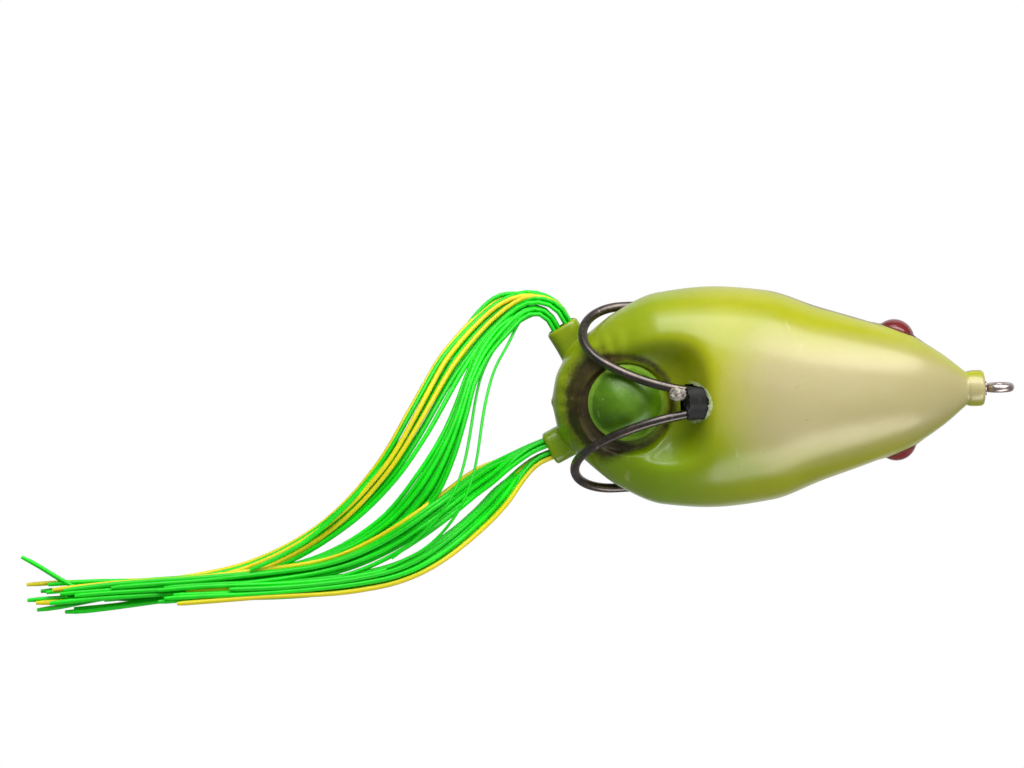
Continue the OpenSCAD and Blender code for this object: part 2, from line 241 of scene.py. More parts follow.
def tube(path, radius, sides, side_axis=None, wide=1.0):
    """Rings round a path: p + side·r·wide·cos a + top·r·sin a, where side and top are square to the path.

    side_axis gives the side; without it the side is level. radius is one value or one for each point.
    """
    along = directions(path)
    side = np.cross([0, 0, 1], along) if side_axis is None else np.broadcast_to(side_axis, path.shape)
    side = unit(side)
    top = np.cross(along, side)
    a = -np.arange(sides) * TURN / sides
    r = np.broadcast_to(np.asarray(radius, float).reshape(-1, 1, 1), (len(path), 1, 1))
    return path[:, None] + r * (wide * side[:, None] * np.cos(a)[:, None] + top[:, None] * np.sin(a)[:, None])


def lathe(profile, sides):
    """Rings round Z from (radius, height) pairs: (r·cos a, r·sin a, h)."""
    profile = np.asarray(profile, float)
    a = -np.arange(sides) * TURN / sides
    r, h = profile[:, 0, None], profile[:, 1, None]
    return np.stack([r * np.cos(a), r * np.sin(a), h + 0 * a], axis=-1)


def rounded_profile(corners, radius, steps=5):
    """(radius, height) pairs through corners with each inner corner turned into a quarter curve.

    A corner c between its neighbours becomes (1−t)²·a + 2t(1−t)·c + t²·b, with a and b at radius from c.
    """
    corners = np.asarray(corners, float)
    t = np.linspace(0, 1, steps)[:, None]
    rows = [corners[:1]]
    for before, corner, after in zip(corners[:-2], corners[1:-1], corners[2:]):
        reach = min(radius, 0.45 * np.linalg.norm(corner - before), 0.45 * np.linalg.norm(after - corner))
        a = corner + reach * unit(before - corner)
        b = corner + reach * unit(after - corner)
        rows.append((1 - t) ** 2 * a + 2 * t * (1 - t) * corner + t**2 * b)
    return np.concatenate(rows + [corners[-1:]])


def turned(points, yaw, pitch):
    """Points turned by pitch about Y and then by yaw about Z, in degrees."""
    p, w = math.radians(pitch), math.radians(yaw)
    about_y = np.array([[math.cos(p), 0, math.sin(p)], [0, 1, 0], [-math.sin(p), 0, math.cos(p)]])
    about_z = np.array([[math.cos(w), -math.sin(w), 0], [math.sin(w), math.cos(w), 0], [0, 0, 1]])
    return points @ (about_z @ about_y).T


def on_shanks(points, slope):
    """Points from the shanks' own frame, where −X runs back along them, to the lure's."""
    return turned(points, 0, -slope)


def at_leg(points, side):
    """Points from a leg's frame, where +Z points out of its mouth, to the lure's."""
    (x, y), angle = LEGS[side]
    return turned(points, angle, 90) + np.array([x, y, LEG_Z])


def at_eye(points, side):
    """Points from an eye's frame, where +Z is the way it looks, to the lure's. side is 1 left, −1 right."""
    x, y, z = EYE_CENTRE
    return turned(points, side * EYE_YAW, 90 - EYE_UP) + np.array([x, side * y, z])


def ring_faces(rows, columns, closed):
    """Quads between neighbouring rings and round each one; closed joins the last ring to the first."""
    i = np.arange(rows if closed else rows - 1)[:, None]
    j = np.arange(columns)[None]
    after, beside = (i + 1) % rows, (j + 1) % columns
    quads = np.stack([i * columns + j, i * columns + beside, after * columns + beside, after * columns + j],
        axis=-1)
    return quads.reshape(-1, 4)


def closed_solid(rings, closed=False):
    """Vertices and faces of a solid through rings. Open ends close on a point amid the end ring."""
    rows, columns = rings.shape[:2]
    vertices = rings.reshape(-1, 3)
    faces = ring_faces(rows, columns, closed).tolist()
    if not closed:
        vertices = np.concatenate([vertices, rings[:1].mean(axis=1), rings[-1:].mean(axis=1)])
        j = np.arange(columns)
        beside = (j + 1) % columns
        first, last, base = rows * columns, rows * columns + 1, (rows - 1) * columns
        faces += np.stack([beside, j, np.full(columns, first)], axis=1).tolist()
        faces += np.stack([base + j, base + beside, np.full(columns, last)], axis=1).tolist()
    return vertices, faces


def new_piece(name, solids, materials, sharp=50):
    """One smooth-shaded mesh object from (vertices in millimetres, faces) pairs, with its faces outwards."""
    start = 0
    all_vertices, all_faces = [], []
    for vertices, faces in solids:
        volume = signed_volume(vertices, faces)
        all_vertices.append(vertices)
        all_faces += [[start + v for v in (face if volume > 0 else face[::-1])] for face in faces]
        start += len(vertices)
    mesh = bpy.data.meshes.new(name)
    mesh.from_pydata((np.concatenate(all_vertices) * MM).tolist(), [], all_faces)
    finish_mesh(mesh, sharp)
    for material in materials if isinstance(materials, list) else [materials]:
        mesh.materials.append(material)
    piece = bpy.data.objects.new(name, mesh)
    bpy.context.collection.objects.link(piece)
    return piece


def signed_volume(vertices, faces):
    """Volume inside the faces, negative where they point inwards: the sum of a·(b×c)/6 over triangles."""
    sizes = np.array([len(f) for f in faces])
    total = 0.0
    for size in np.unique(sizes):
        f = np.array([faces[i] for i in np.flatnonzero(sizes == size)])
        for k in range(1, size - 1):
            a, b, c = vertices[f[:, 0]], vertices[f[:, k]], vertices[f[:, k + 1]]
            total += np.einsum("ij,ij->i", a, np.cross(b, c)).sum() / 6
    return total


def finish_mesh(mesh, sharp):
    """Smooth shading, with edges over sharp degrees kept hard."""
    mesh.validate()
    mesh.shade_smooth()
    mesh.set_sharp_from_angle(angle=math.radians(sharp))
    mesh.update()


def coordinates(mesh):
    """The vertices' places as an array."""
    flat = np.empty(len(mesh.vertices) * 3)
    mesh.vertices.foreach_get("co", flat)
    return flat.reshape(-1, 3)


def put_attribute(mesh, name, values):
    """A number for each vertex, which materials read by its name."""
    layer = mesh.attributes.get(name) or mesh.attributes.new(name, "FLOAT", "POINT")
    layer.data.foreach_set("value", np.asarray(values, np.float32))


def cut_with(piece, cutter, operation):
    """Applies a Boolean of piece with cutter, and removes the cutter."""
    change = piece.modifiers.new("cut", "BOOLEAN")
    change.operation = operation
    change.solver = "MANIFOLD"
    change.object = cutter
    bpy.context.view_layer.update()
    evaluated = piece.evaluated_get(bpy.context.evaluated_depsgraph_get())
    mesh = bpy.data.meshes.new_from_object(evaluated)
    piece.modifiers.clear()
    piece.data = mesh
    bpy.data.objects.remove(cutter)
    if len(mesh.polygons) < 100:
        raise RuntimeError(f"the {operation.lower()} left {piece.name} empty")


def soften(mesh, weight, rounds):
    """Moves each vertex towards the mean of its neighbours by weight, rounds times over."""
    points = coordinates(mesh)
    edges = np.empty(len(mesh.edges) * 2, np.int64)
    mesh.edges.foreach_get("vertices", edges)
    a, b = edges.reshape(-1, 2).T
    count = np.bincount(edges, minlength=len(points)).clip(1)[:, None]
    for _ in range(rounds):
        total = np.stack([
            np.bincount(a, points[b, c], len(points)) + np.bincount(b, points[a, c], len(points))
            for c in range(3)], axis=1)
        points += weight[:, None] * (total / count - points)
    mesh.vertices.foreach_set("co", points.ravel())
    mesh.update()


# ---- Body shape ----


def body_shares(x):
    """Shares of half width, back height and belly depth at x, on a cubic Hermite curve through the stations.

    (2t³−3t²+1)·p0 + (t³−2t²+t)·h·m0 + (3t²−2t³)·p1 + (t³−t²)·h·m1; a slope m is the harmonic mean of its two
    neighbours, or 0 where they differ in sign.
    """
    xs, shares = STATIONS[:, 0], STATIONS[:, 1:]
    h = np.diff(xs)[:, None]
    slopes = np.diff(shares, axis=0) / h
    product, total = slopes[:-1] * slopes[1:], slopes[:-1] + slopes[1:]
    mean = np.where(product > 0, 2 * product / np.where(total == 0, 1, total), 0)
    m = np.concatenate([slopes[:1], mean, slopes[-1:]])
    k = np.clip(np.searchsorted(-xs, -x, side="right") - 1, 0, len(xs) - 2)
    t = np.clip((x - xs[k]) / (xs[k + 1] - xs[k]), 0, 1)[..., None]
    return ((2 * t**3 - 3 * t**2 + 1) * shares[k] + (t**3 - 2 * t**2 + t) * h[k] * m[k]
        + (3 * t**2 - 2 * t**3) * shares[k + 1] + (t**3 - t**2) * h[k] * m[k + 1])


def body_sizes(x, sizes):
    """Half width, back height and belly depth at x, in millimetres."""
    largest = np.array([sizes.half_width, sizes.back_height, sizes.belly_depth]) / MM
    return np.moveaxis(body_shares(x) * largest, -1, 0)


def soft_max(a, b):
    """(a + b + √((a − b)² + soft²)) / 2: the higher level, with a soft step."""
    return (a + b + np.sqrt((a - b) ** 2 + DISH["soft"] ** 2)) / 2


def body_rings(x, columns, inset, sizes):
    """Rings of the body: y = w·sgn(cos a)|cos a|^(2/n), z = h·sgn(sin a)|sin a|^(2/n), with the belly dished.

    The dish's floor is z0 − edge·(((x − x0)/rx)⁴ + (y/ry)⁴), and the belly is never below it.
    """
    w, up, down = (v[:, None] - inset for v in body_sizes(x, sizes))
    a = (np.arange(columns) + 0.5) * TURN / columns
    y = w * signed_power(np.cos(a), 2 / SECTION_POWER)
    z = np.where(np.sin(a) > 0, up, down) * signed_power(np.sin(a), 2 / SECTION_POWER)
    floor = DISH["z"] - DISH["edge"] * (((x[:, None] - DISH["x"]) / DISH["rx"]) ** 4 + (y / DISH["ry"]) ** 4)
    z = np.where(np.sin(a) > 0, z, soft_max(z, floor + inset))
    return np.stack([x[:, None] + 0 * a, y, z], axis=-1)


def pocket_floor(p, grow, floor):
    """Raises z to the pocket's floor inside its circle, grown by grow.

    Returns the points, how far inside the circle each is, and its distance from the middle.
    """
    x, y, z = np.moveaxis(p, -1, 0)
    r = np.hypot(x - WEIGHT_X, y - POCKET["y"])
    inside = smoothstep(POCKET["r"] + grow + 0.28, POCKET["r"] + grow - 0.28, r) * smoothstep(0.5, -1.5, z)
    return np.stack([x, y, z * (1 - inside) + np.maximum(z, floor) * inside], axis=-1), inside, r


def pocket_and_folds(p):
    """Belly details: the round pocket behind the weight, and folds round it at the tail.

    Inside the pocket's circle z rises to its floor. Outside, rings of −d·exp(−((r − r0)/s)²) and fine ripples
    that run out from the weight are added on the tail side.
    """
    lower = smoothstep(0.5, -1.5, p[..., 2])
    p, inside, r_pocket = pocket_floor(p, 0, POCKET["z"])
    x, y, z = np.moveaxis(p, -1, 0)
    r = np.hypot(x - WEIGHT_X, y)
    angle = np.arctan2(y, -(x - WEIGHT_X))
    behind = smoothstep(0.1, 0.75, np.cos(angle)) * lower
    lip = np.exp(-(((r_pocket - POCKET["r"] - 0.55) / 0.42) ** 2))
    fold = np.exp(-(((r - 8.1) / 0.45) ** 2))
    z = z - lower * 0.22 * lip * (1 - inside) - behind * 0.3 * lip * (1 - inside) + behind * 0.34 * fold
    ripple = np.sin(21 * angle + 2 * np.sin(5 * angle)) * np.exp(-(((r - 8.6) / 1.9) ** 2))
    sideways = smoothstep(0.05, 0.6, np.cos(angle + 0.7)) * lower
    z = z + 0.07 * ripple * sideways * (1 - inside)
    return np.stack([x, y, z], axis=-1)


def leg_flare(p, side):
    """Skin near a leg is drawn out along it: p + d·1.1·exp(−(r/2.7)²), r away from the leg's line."""
    out = at_leg(np.array([0, 0, 1.0]), side) - at_leg(np.zeros(3), side)
    rel = p - at_leg(np.array([0, 0, -LEG_LENGTH / 2]), side)
    along = rel @ out
    r = np.linalg.norm(rel - along[..., None] * out, axis=-1)
    near = np.exp(-((r / 2.7) ** 2)) * smoothstep(-6, -1, along)
    return p + 1.1 * near[..., None] * out


def eye_mound(p, side):
    """Skin rises in a soft ring round an eye: 0.15·exp(−((r − 3.2)/0.75)²) along the way it looks."""
    look = at_eye(np.array([0, 0, 1.0]), side) - at_eye(np.zeros(3), side)
    rel = p - at_eye(np.zeros(3), side)
    height = rel @ look
    r = np.linalg.norm(rel - height[..., None] * look, axis=-1)
    ring = np.exp(-(((r - 3.2) / 0.75) ** 2)) * smoothstep(-3.5, -1.5, height)
    return p + 0.15 * ring[..., None] * look


def skin_rings(sizes):
    """The outside of the body from the bore's end, out round the collar and back to the tail."""
    columns = 280
    body_x = np.concatenate([np.linspace(-4.62, -38, 100, endpoint=False),
        np.linspace(-38, -60.5, 96, endpoint=False),
        -60.5 - 1.62 * np.sin(np.linspace(0, math.pi / 2, 16))])
    rings = body_rings(body_x, columns, 0, sizes)
    tail = smoothstep(-61.2, -62.12, body_x)[:, None]
    rings[..., 1:] *= (np.sqrt(1 - 0.93 * tail**2))[..., None]
    rings = pocket_and_folds(rings)
    for side in LEGS:
        rings = leg_flare(rings, side)
    for side in (1, -1):
        rings = eye_mound(rings, side)
    a = (np.arange(columns) + 0.5) * TURN / columns
    nose = np.array(NOSE)
    x, r = nose[:, 0, None], nose[:, 1, None]
    collar = np.stack([x + 0 * a, r * np.cos(a), r * np.sin(a)], axis=-1)
    return np.concatenate([collar, rings])


def leg_rings(side, radius, length, mouth, columns=96, power=3.2, rows=46):
    """A leg as a rounded square tube: r·(|cos a|^p + |sin a|^p)^(−1/p) round the leg's line."""
    t = np.linspace(-length, mouth, rows)
    a = -np.arange(columns) * TURN / columns
    square = (np.abs(np.cos(a)) ** power + np.abs(np.sin(a)) ** power) ** (-1 / power)
    rim = np.clip((t - (mouth - 0.5)) / 0.5, 0, 1)
    wider = 0.5 * np.exp(-(t + length - 1.5) / 1.2) * (t > -length + 1.5)
    r = radius - 0.4 * (1 - np.sqrt(1 - rim**2)) + wider
    r = np.minimum(r, radius + 0.4)[:, None] * square
    p = np.stack([r * np.cos(a), r * np.sin(a), t[:, None] + 0 * a], axis=-1)
    return at_leg(p, side)


def slot_rings(rng):
    """A stadium-shaped plug with a ragged edge, which cuts the slot in the belly."""
    columns = 180
    a = np.arange(columns) * TURN / columns
    r = SLOT["width"] / 2
    half = (SLOT["front"] - SLOT["back"]) / 2 - r
    middle = (SLOT["front"] + SLOT["back"]) / 2
    ragged = sum(rng.uniform(0.02, 0.06) * np.sin(k * a + rng.uniform(0, TURN)) for k in (5, 9, 14, 23, 31))
    x = middle + half * np.sign(np.cos(a)) + (r + ragged) * np.cos(a)
    y = (r + ragged) * np.sin(a)
    levels = np.linspace(-14.2, -5.2, 10)
    return np.stack([np.broadcast_to(x, (10, columns)), np.broadcast_to(y, (10, columns)),
        np.broadcast_to(levels[:, None], (10, columns))], axis=-1)


def paint_masks(p, sizes):
    """Where each paint lies, from 0 to 1: cream belly, olive back, brown spray paint with a ring of painted
    shade round the weight, and deeper green towards the tail with painted shade on the left flank.
    """
    x, y, z = p.T
    w, up, down = body_sizes(np.clip(x, -62.1, -4.6), sizes)
    across = np.abs(y) / np.maximum(w, 0.5)
    height = z / np.where(z > 0, up, down)
    limit = np.interp(x, [-42, -38, -33, -19, -8, -3], [0.2, 0.42, 0.58, 0.68, 0.8, 0.7])
    cream = smoothstep(limit + 0.3, limit - 0.3, across) * smoothstep(0.0, -0.45, height)
    cream = cream * smoothstep(-43, -31, x)
    back = smoothstep(0.0, 0.45, height + (0.1 + 0.3 * (y < 0)) * smoothstep(-44, -26, x))
    for side in LEGS:
        out = at_leg(np.array([0, 0, 1.0]), side) - at_leg(np.zeros(3), side)
        rel = p - at_leg(np.zeros(3), side)
        along = rel @ out
        off = np.linalg.norm(rel - along[:, None] * out, axis=1)
        back = back * (1 - smoothstep(4.2, 3.0, off) * smoothstep(-6.0, -4.0, along))
    r = np.hypot(x - WEIGHT_X, y)
    angle = np.arctan2(y, -(x - WEIGHT_X))
    # Painted shade: the deeper green on the rear of the left flank stands for shade on the side away from the
    # key light; towards the tail the green is only made deeper.
    shaded_left_flank = smoothstep(-3, 9, y) * smoothstep(-20, -40, x)
    deeper_green_and_shade = np.clip(0.65 * smoothstep(-36, -52, x) + 0.5 * shaded_left_flank, 0, 1)
    spray = np.exp(-(((r - 6.8) / 2.5) ** 2)) * smoothstep(-0.2, 0.75, np.cos(angle - 0.08))
    # Painted shade: a dark ring in the gap between the weight and the wall of its pocket, added to the brown
    # spray paint.
    ring = np.exp(-(((r - 6.3) / 0.8) ** 2)) * 0.75
    brown = np.clip(spray + ring, 0, 1) * smoothstep(1.5, -0.5, z)
    return cream, back, brown, deeper_green_and_shade


# ---- Node groups and materials ----


def srgb(red, green, blue):
    """A colour from its 0–255 screen values to the linear values that shaders use."""
    c = np.array([red, green, blue]) / 255
    linear = np.where(c <= 0.04045, c / 12.92, ((c + 0.055) / 1.055) ** 2.4)
    return (*linear.tolist(), 1.0)


def add_node(tree, kind, **values):
    """A node with its properties (lower-case names) or sockets (given in a dict called sockets) set."""
    made = tree.nodes.new(kind)
    for key, value in values.pop("sockets", {}).items():
        made.inputs[key].default_value = value
    for key, value in values.items():
        setattr(made, key, value)
    return made


def math_node(tree, operation, a, b=0.0, clamp=False):
    """A Math node; a and b are numbers or sockets. Returns its output."""
    made = add_node(tree, "ShaderNodeMath", operation=operation, use_clamp=clamp)
    for index, value in enumerate((a, b)):
        if isinstance(value, (int, float)):
            made.inputs[index].default_value = value
        else:
            tree.links.new(value, made.inputs[index])
    return made.outputs[0]


def mix_colours(tree, factor, a, b, blend="MIX"):
    """A colour Mix node; each of factor, a and b is a value or a socket. Returns its output."""
    made = add_node(tree, "ShaderNodeMix", data_type="RGBA", blend_type=blend)
    for index, value in ((0, factor), (6, a), (7, b)):
        if isinstance(value, (int, float, tuple)):
            made.inputs[index].default_value = value
        else:
            tree.links.new(value, made.inputs[index])
    return made.outputs[2]


def ramp(tree, value, low, high):
    """Smooth step of a socket from low to high. Returns its output."""
    made = add_node(tree, "ShaderNodeMapRange", interpolation_type="SMOOTHSTEP",
        sockets={"From Min": low, "From Max": high})
    tree.links.new(value, made.inputs["Value"])
    return made.outputs["Result"]


def noise(tree, place, scale, detail=4.0, roughness=0.55, stretch=None):
    """Noise on a place socket, scale in cycles a millimetre. Returns its output, about 0.5 on average."""
    if stretch:
        mapping = add_node(tree, "ShaderNodeMapping", sockets={"Scale": stretch})
        tree.links.new(place, mapping.inputs["Vector"])
        place = mapping.outputs[0]
    made = add_node(tree, "ShaderNodeTexNoise",
        sockets={"Scale": scale / MM, "Detail": detail, "Roughness": roughness})
    tree.links.new(place, made.inputs["Vector"])
    return made.outputs["Fac"]


def new_group(name, inputs, outputs):
    """An empty shader node group with named sockets: (name, kind, default) in, (name, kind) out."""
    tree = bpy.data.node_groups.new(name, "ShaderNodeTree")
    for label, kind, default in inputs:
        socket = tree.interface.new_socket(name=label, in_out="INPUT", socket_type=f"NodeSocket{kind}")
        if default is not None:
            socket.default_value = default
    for label, kind in outputs:
        tree.interface.new_socket(name=label, in_out="OUTPUT", socket_type=f"NodeSocket{kind}")
    return tree, tree.nodes.new("NodeGroupInput"), tree.nodes.new("NodeGroupOutput")


def group_scuffs():
    """Fine scratches and rubbed spots: a mask from two noises, one stretched, kept where a third is high."""
    tree, source, sink = new_group("Scuffs",
        [("Place", "Vector", None), ("Size", "Float", 1.0), ("Amount", "Float", 0.5)],
        [("Mask", "Float")])
    place = add_node(tree, "ShaderNodeVectorMath", operation="SCALE")
    tree.links.new(source.outputs["Place"], place.inputs[0])
    tree.links.new(math_node(tree, "DIVIDE", 1.0, source.outputs["Size"]), place.inputs["Scale"])
    scratches = noise(tree, place.outputs[0], 1.1, 5, 0.6, stretch=(1.0, 0.25, 0.6))
    spots = noise(tree, place.outputs[0], 1.7, 6, 0.7)
    where = noise(tree, place.outputs[0], 0.16, 2)
    lines = ramp(tree, scratches, 0.6, 0.7)
    marks = math_node(tree, "MAXIMUM", lines, ramp(tree, spots, 0.64, 0.72))
    kept = math_node(tree, "MULTIPLY", marks, ramp(tree, where, 0.46, 0.62))
    tree.links.new(math_node(tree, "MULTIPLY", kept, source.outputs["Amount"], clamp=True),
        sink.inputs["Mask"])
    return tree


def group_mottle():
    """Two colours in soft patches: a mix by noise, with softer or harder borders."""
    tree, source, sink = new_group("Mottle",
        [("Place", "Vector", None), ("First", "Color", (0, 0, 0, 1)), ("Second", "Color", (1, 1, 1, 1)),
            ("Size", "Float", 1.0), ("Hardness", "Float", 0.3)],
        [("Colour", "Color")])
    place = add_node(tree, "ShaderNodeVectorMath", operation="SCALE")
    tree.links.new(source.outputs["Place"], place.inputs[0])
    tree.links.new(math_node(tree, "DIVIDE", 1.0, source.outputs["Size"]), place.inputs["Scale"])
    patches = noise(tree, place.outputs[0], 1.0, 4, 0.6)
    centred = math_node(tree, "SUBTRACT", patches, 0.5)
    hardness = math_node(tree, "MULTIPLY", source.outputs["Hardness"], 12.0)
    steep = math_node(tree, "MULTIPLY", centred, hardness)
    factor = math_node(tree, "ADD", steep, 0.5, clamp=True)
    tree.links.new(mix_colours(tree, factor, source.outputs["First"], source.outputs["Second"]),
        sink.inputs["Colour"])
    return tree


def group_grain():
    """Height of a fine surface: a little orange peel and fine grit, added together."""
    tree, source, sink = new_group("Grain",
        [("Place", "Vector", None), ("Peel", "Float", 0.5), ("Grit", "Float", 0.3)],
        [("Height", "Float")])
    peel = math_node(tree, "MULTIPLY", noise(tree, source.outputs["Place"], 0.9, 2), source.outputs["Peel"])
    grit = math_node(tree, "MULTIPLY", noise(tree, source.outputs["Place"], 7.0, 3), source.outputs["Grit"])
    tree.links.new(math_node(tree, "ADD", peel, grit), sink.inputs["Height"])
    return tree


def group_slot_rim():
    """Mask of the slot's raw edge, from the distance √(max(|x−m|−h, 0)² + y²) − r roughened by noise."""
    tree, source, sink = new_group("Slot rim", [("Place", "Vector", None), ("Width", "Float", 0.8)],
        [("Mask", "Float")])
    xyz = add_node(tree, "ShaderNodeSeparateXYZ")
    tree.links.new(source.outputs["Place"], xyz.inputs[0])
    r = SLOT["width"] / 2 * MM
    middle = (SLOT["front"] + SLOT["back"]) / 2 * MM
    half = (SLOT["front"] - SLOT["back"]) / 2 * MM - r
    along = math_node(tree, "ABSOLUTE", math_node(tree, "SUBTRACT", xyz.outputs["X"], middle))
    beyond = math_node(tree, "MAXIMUM", math_node(tree, "SUBTRACT", along, half), 0.0)
    squares = math_node(tree, "ADD", math_node(tree, "MULTIPLY", beyond, beyond),
        math_node(tree, "MULTIPLY", xyz.outputs["Y"], xyz.outputs["Y"]))
    distance = math_node(tree, "SUBTRACT", math_node(tree, "SQRT", squares), r)
    ragged = math_node(tree, "SUBTRACT", noise(tree, source.outputs["Place"], 1.3, 4), 0.5)
    distance = math_node(tree, "ADD", math_node(tree, "MULTIPLY", distance, 1 / MM),
        math_node(tree, "MULTIPLY", ragged, 0.6))
    reach = math_node(tree, "DIVIDE", distance, source.outputs["Width"])
    near = math_node(tree, "SUBTRACT", 1.0, ramp(tree, reach, 0.72, 1.0))
    front = ramp(tree, math_node(tree, "MULTIPLY", xyz.outputs["X"], 1 / MM), -43.6, -42.6)
    belly = math_node(tree, "MULTIPLY", math_node(tree, "LESS_THAN", xyz.outputs["Z"], 0.0), front)
    tree.links.new(math_node(tree, "MULTIPLY", near, belly), sink.inputs["Mask"])
    return tree


GROUP_MAKERS = {
    "Scuffs": group_scuffs,
    "Mottle": group_mottle,
    "Grain": group_grain,
    "Slot rim": group_slot_rim,
}


def use_group(tree, name, place, **sockets):
    """Places a shared node group, made on first use, and sets or links its values. Returns its output."""
    made = add_node(tree, "ShaderNodeGroup")
    made.node_tree = bpy.data.node_groups.get(name) or GROUP_MAKERS[name]()
    tree.links.new(place, made.inputs["Place"])
    for key, value in sockets.items():
        if isinstance(value, (int, float, tuple)):
            made.inputs[key].default_value = value
        else:
            tree.links.new(value, made.inputs[key])
    return made.outputs[0]


class Finish:
    """A material with one Principled shader: constants on its sockets, and patterns linked to them."""

    def __init__(self, name, **sockets):
        self.material = bpy.data.materials.new(name)
        self.material.use_nodes = True
        self.tree = self.material.node_tree
        self.shader = self.tree.nodes["Principled BSDF"]
        for key, value in sockets.items():
            self.shader.inputs[key.replace("_", " ")].default_value = value
        self.place = add_node(self.tree, "ShaderNodeTexCoord").outputs["Object"]

    def link(self, socket, value):
        """Links an output to one of the shader's sockets."""
        self.tree.links.new(value, self.shader.inputs[socket])

    def bump(self, height, strength, distance):
        """Bends the shading by a height, distance in millimetres."""
        made = add_node(self.tree, "ShaderNodeBump",
            sockets={"Strength": strength, "Distance": distance * MM})
        self.tree.links.new(height, made.inputs["Height"])
        self.link("Normal", made.outputs["Normal"])

    def attribute(self, name):
        """Reads a number that the mesh carries."""
        return add_node(self.tree, "ShaderNodeAttribute", attribute_name=name).outputs["Fac"]


def body_skin_finish(colours):
    """Painted soft plastic: green flanks, pearl belly, brown spray paint at the tail, raw edge at the slot;
    painted shade on the left flank and round the weight.
    """
    f = Finish("Painted soft skin", IOR=1.47, Coat_Roughness=0.2, Subsurface_Weight=0.08,
        Subsurface_Scale=0.0012)
    t = f.tree
    green = use_group(t, "Mottle", f.place, First=tuple(colours.flank), Second=tuple(colours.flank_shade),
        Size=9.0, Hardness=0.12)
    # The deeper green is partly painted shade on the left flank.
    green = mix_colours(t, f.attribute("deeper_green_and_shade"), green, tuple(colours.flank_deep_and_shade))
    pearl = use_group(t, "Mottle", f.place, First=tuple(colours.belly), Second=tuple(colours.belly_shade),
        Size=14.0, Hardness=0.1)
    brown = use_group(t, "Mottle", f.place, First=tuple(colours.overspray_and_shade), Second=srgb(70, 60, 6), Size=2.4,
        Hardness=0.3)
    olive = use_group(t, "Mottle", f.place, First=tuple(colours.back), Second=srgb(128, 120, 40), Size=4.0,
        Hardness=0.35)
    uneven = math_node(t, "MULTIPLY", math_node(t, "SUBTRACT", noise(t, f.place, 0.35, 5, 0.6), 0.5), 0.5)
    fine = math_node(t, "MULTIPLY", math_node(t, "SUBTRACT", noise(t, f.place, 2.2, 5, 0.7), 0.5), 0.5)
    broken = math_node(t, "ADD", uneven, fine)
    cream_mask = math_node(t, "ADD", f.attribute("cream"),
        math_node(t, "MULTIPLY", uneven, 0.35), clamp=True)
    cream_mask = math_node(t, "MULTIPLY", cream_mask, ramp(t, f.attribute("cream"), 0.02, 0.25))
    back_mask = ramp(t, math_node(t, "ADD", f.attribute("back"), broken), 0.25, 0.8)
    # The brown mask also carries a ring of painted shade in the gap round the weight.
    brown_and_shade_mask = ramp(t, math_node(t, "ADD", f.attribute("brown"), broken), 0.22, 0.9)
    colour = mix_colours(t, cream_mask, green, pearl)
    colour = mix_colours(t, back_mask, colour, olive)
    colour = mix_colours(t, brown_and_shade_mask, colour, brown)
    rim = use_group(t, "Slot rim", f.place, Width=0.5)
    raw = mix_colours(t, ramp(t, noise(t, f.place, 1.6, 4), 0.35, 0.65), srgb(216, 226, 186),
        srgb(168, 192, 120))
    colour = mix_colours(t, rim, colour, raw)
    scuffs = use_group(t, "Scuffs", f.place, Size=2.5, Amount=0.2)
    colour = mix_colours(t, scuffs, colour, srgb(226, 226, 170))
    f.link("Base Color", colour)
    rough = math_node(t, "ADD", math_node(t, "MULTIPLY", noise(t, f.place, 0.5, 3), 0.12), 0.24)
    dull = math_node(t, "MAXIMUM", rim, brown_and_shade_mask)
    f.link("Roughness", math_node(t, "ADD", rough, math_node(t, "MULTIPLY", dull, 0.25)))
    f.link("Metallic", math_node(t, "MULTIPLY", cream_mask, 0.12))
    f.link("Coat Weight", math_node(t, "MULTIPLY", math_node(t, "SUBTRACT", 1.0, dull), 0.3))
    grain = use_group(t, "Grain", f.place, Peel=0.5, Grit=0.1)
    f.bump(math_node(t, "ADD", grain, math_node(t, "MULTIPLY", rim, noise(t, f.place, 2.5, 4))), 0.35, 0.12)
    return f.material


def hook_finish(colours):
    """Black nickel wire: warm and cool greys in bands along the wire, brushed and lightly worn, with a
    painted reflection that makes the line-tie eye paler.
    """
    f = Finish("Black nickel wire", Metallic=1.0, IOR=2.0, Coat_Weight=0.3, Coat_Roughness=0.15)
    t = f.tree
    colour = use_group(t, "Mottle", f.place, First=tuple(colours.wire), Second=tuple(colours.wire_warm),
        Size=3.0, Hardness=0.35)
    worn = use_group(t, "Scuffs", f.place, Size=0.9, Amount=0.5)
    colour = mix_colours(t, worn, colour, srgb(190, 176, 170))
    # Painted reflection: the line-tie eye is made paler, standing for the white surroundings that it
    # reflects.
    painted_eye_reflection = ramp(t, f.attribute("painted_eye_reflection"), 0.2, 0.8)
    colour = mix_colours(t, painted_eye_reflection, colour, srgb(206, 190, 184))
    f.link("Base Color", colour)
    rough = math_node(t, "ADD", math_node(t, "MULTIPLY", noise(t, f.place, 1.2, 4), 0.3), 0.16)
    f.link("Roughness", rough)
    f.bump(use_group(t, "Grain", f.place, Peel=0.6, Grit=0.4), 0.3, 0.05)
    return f.material


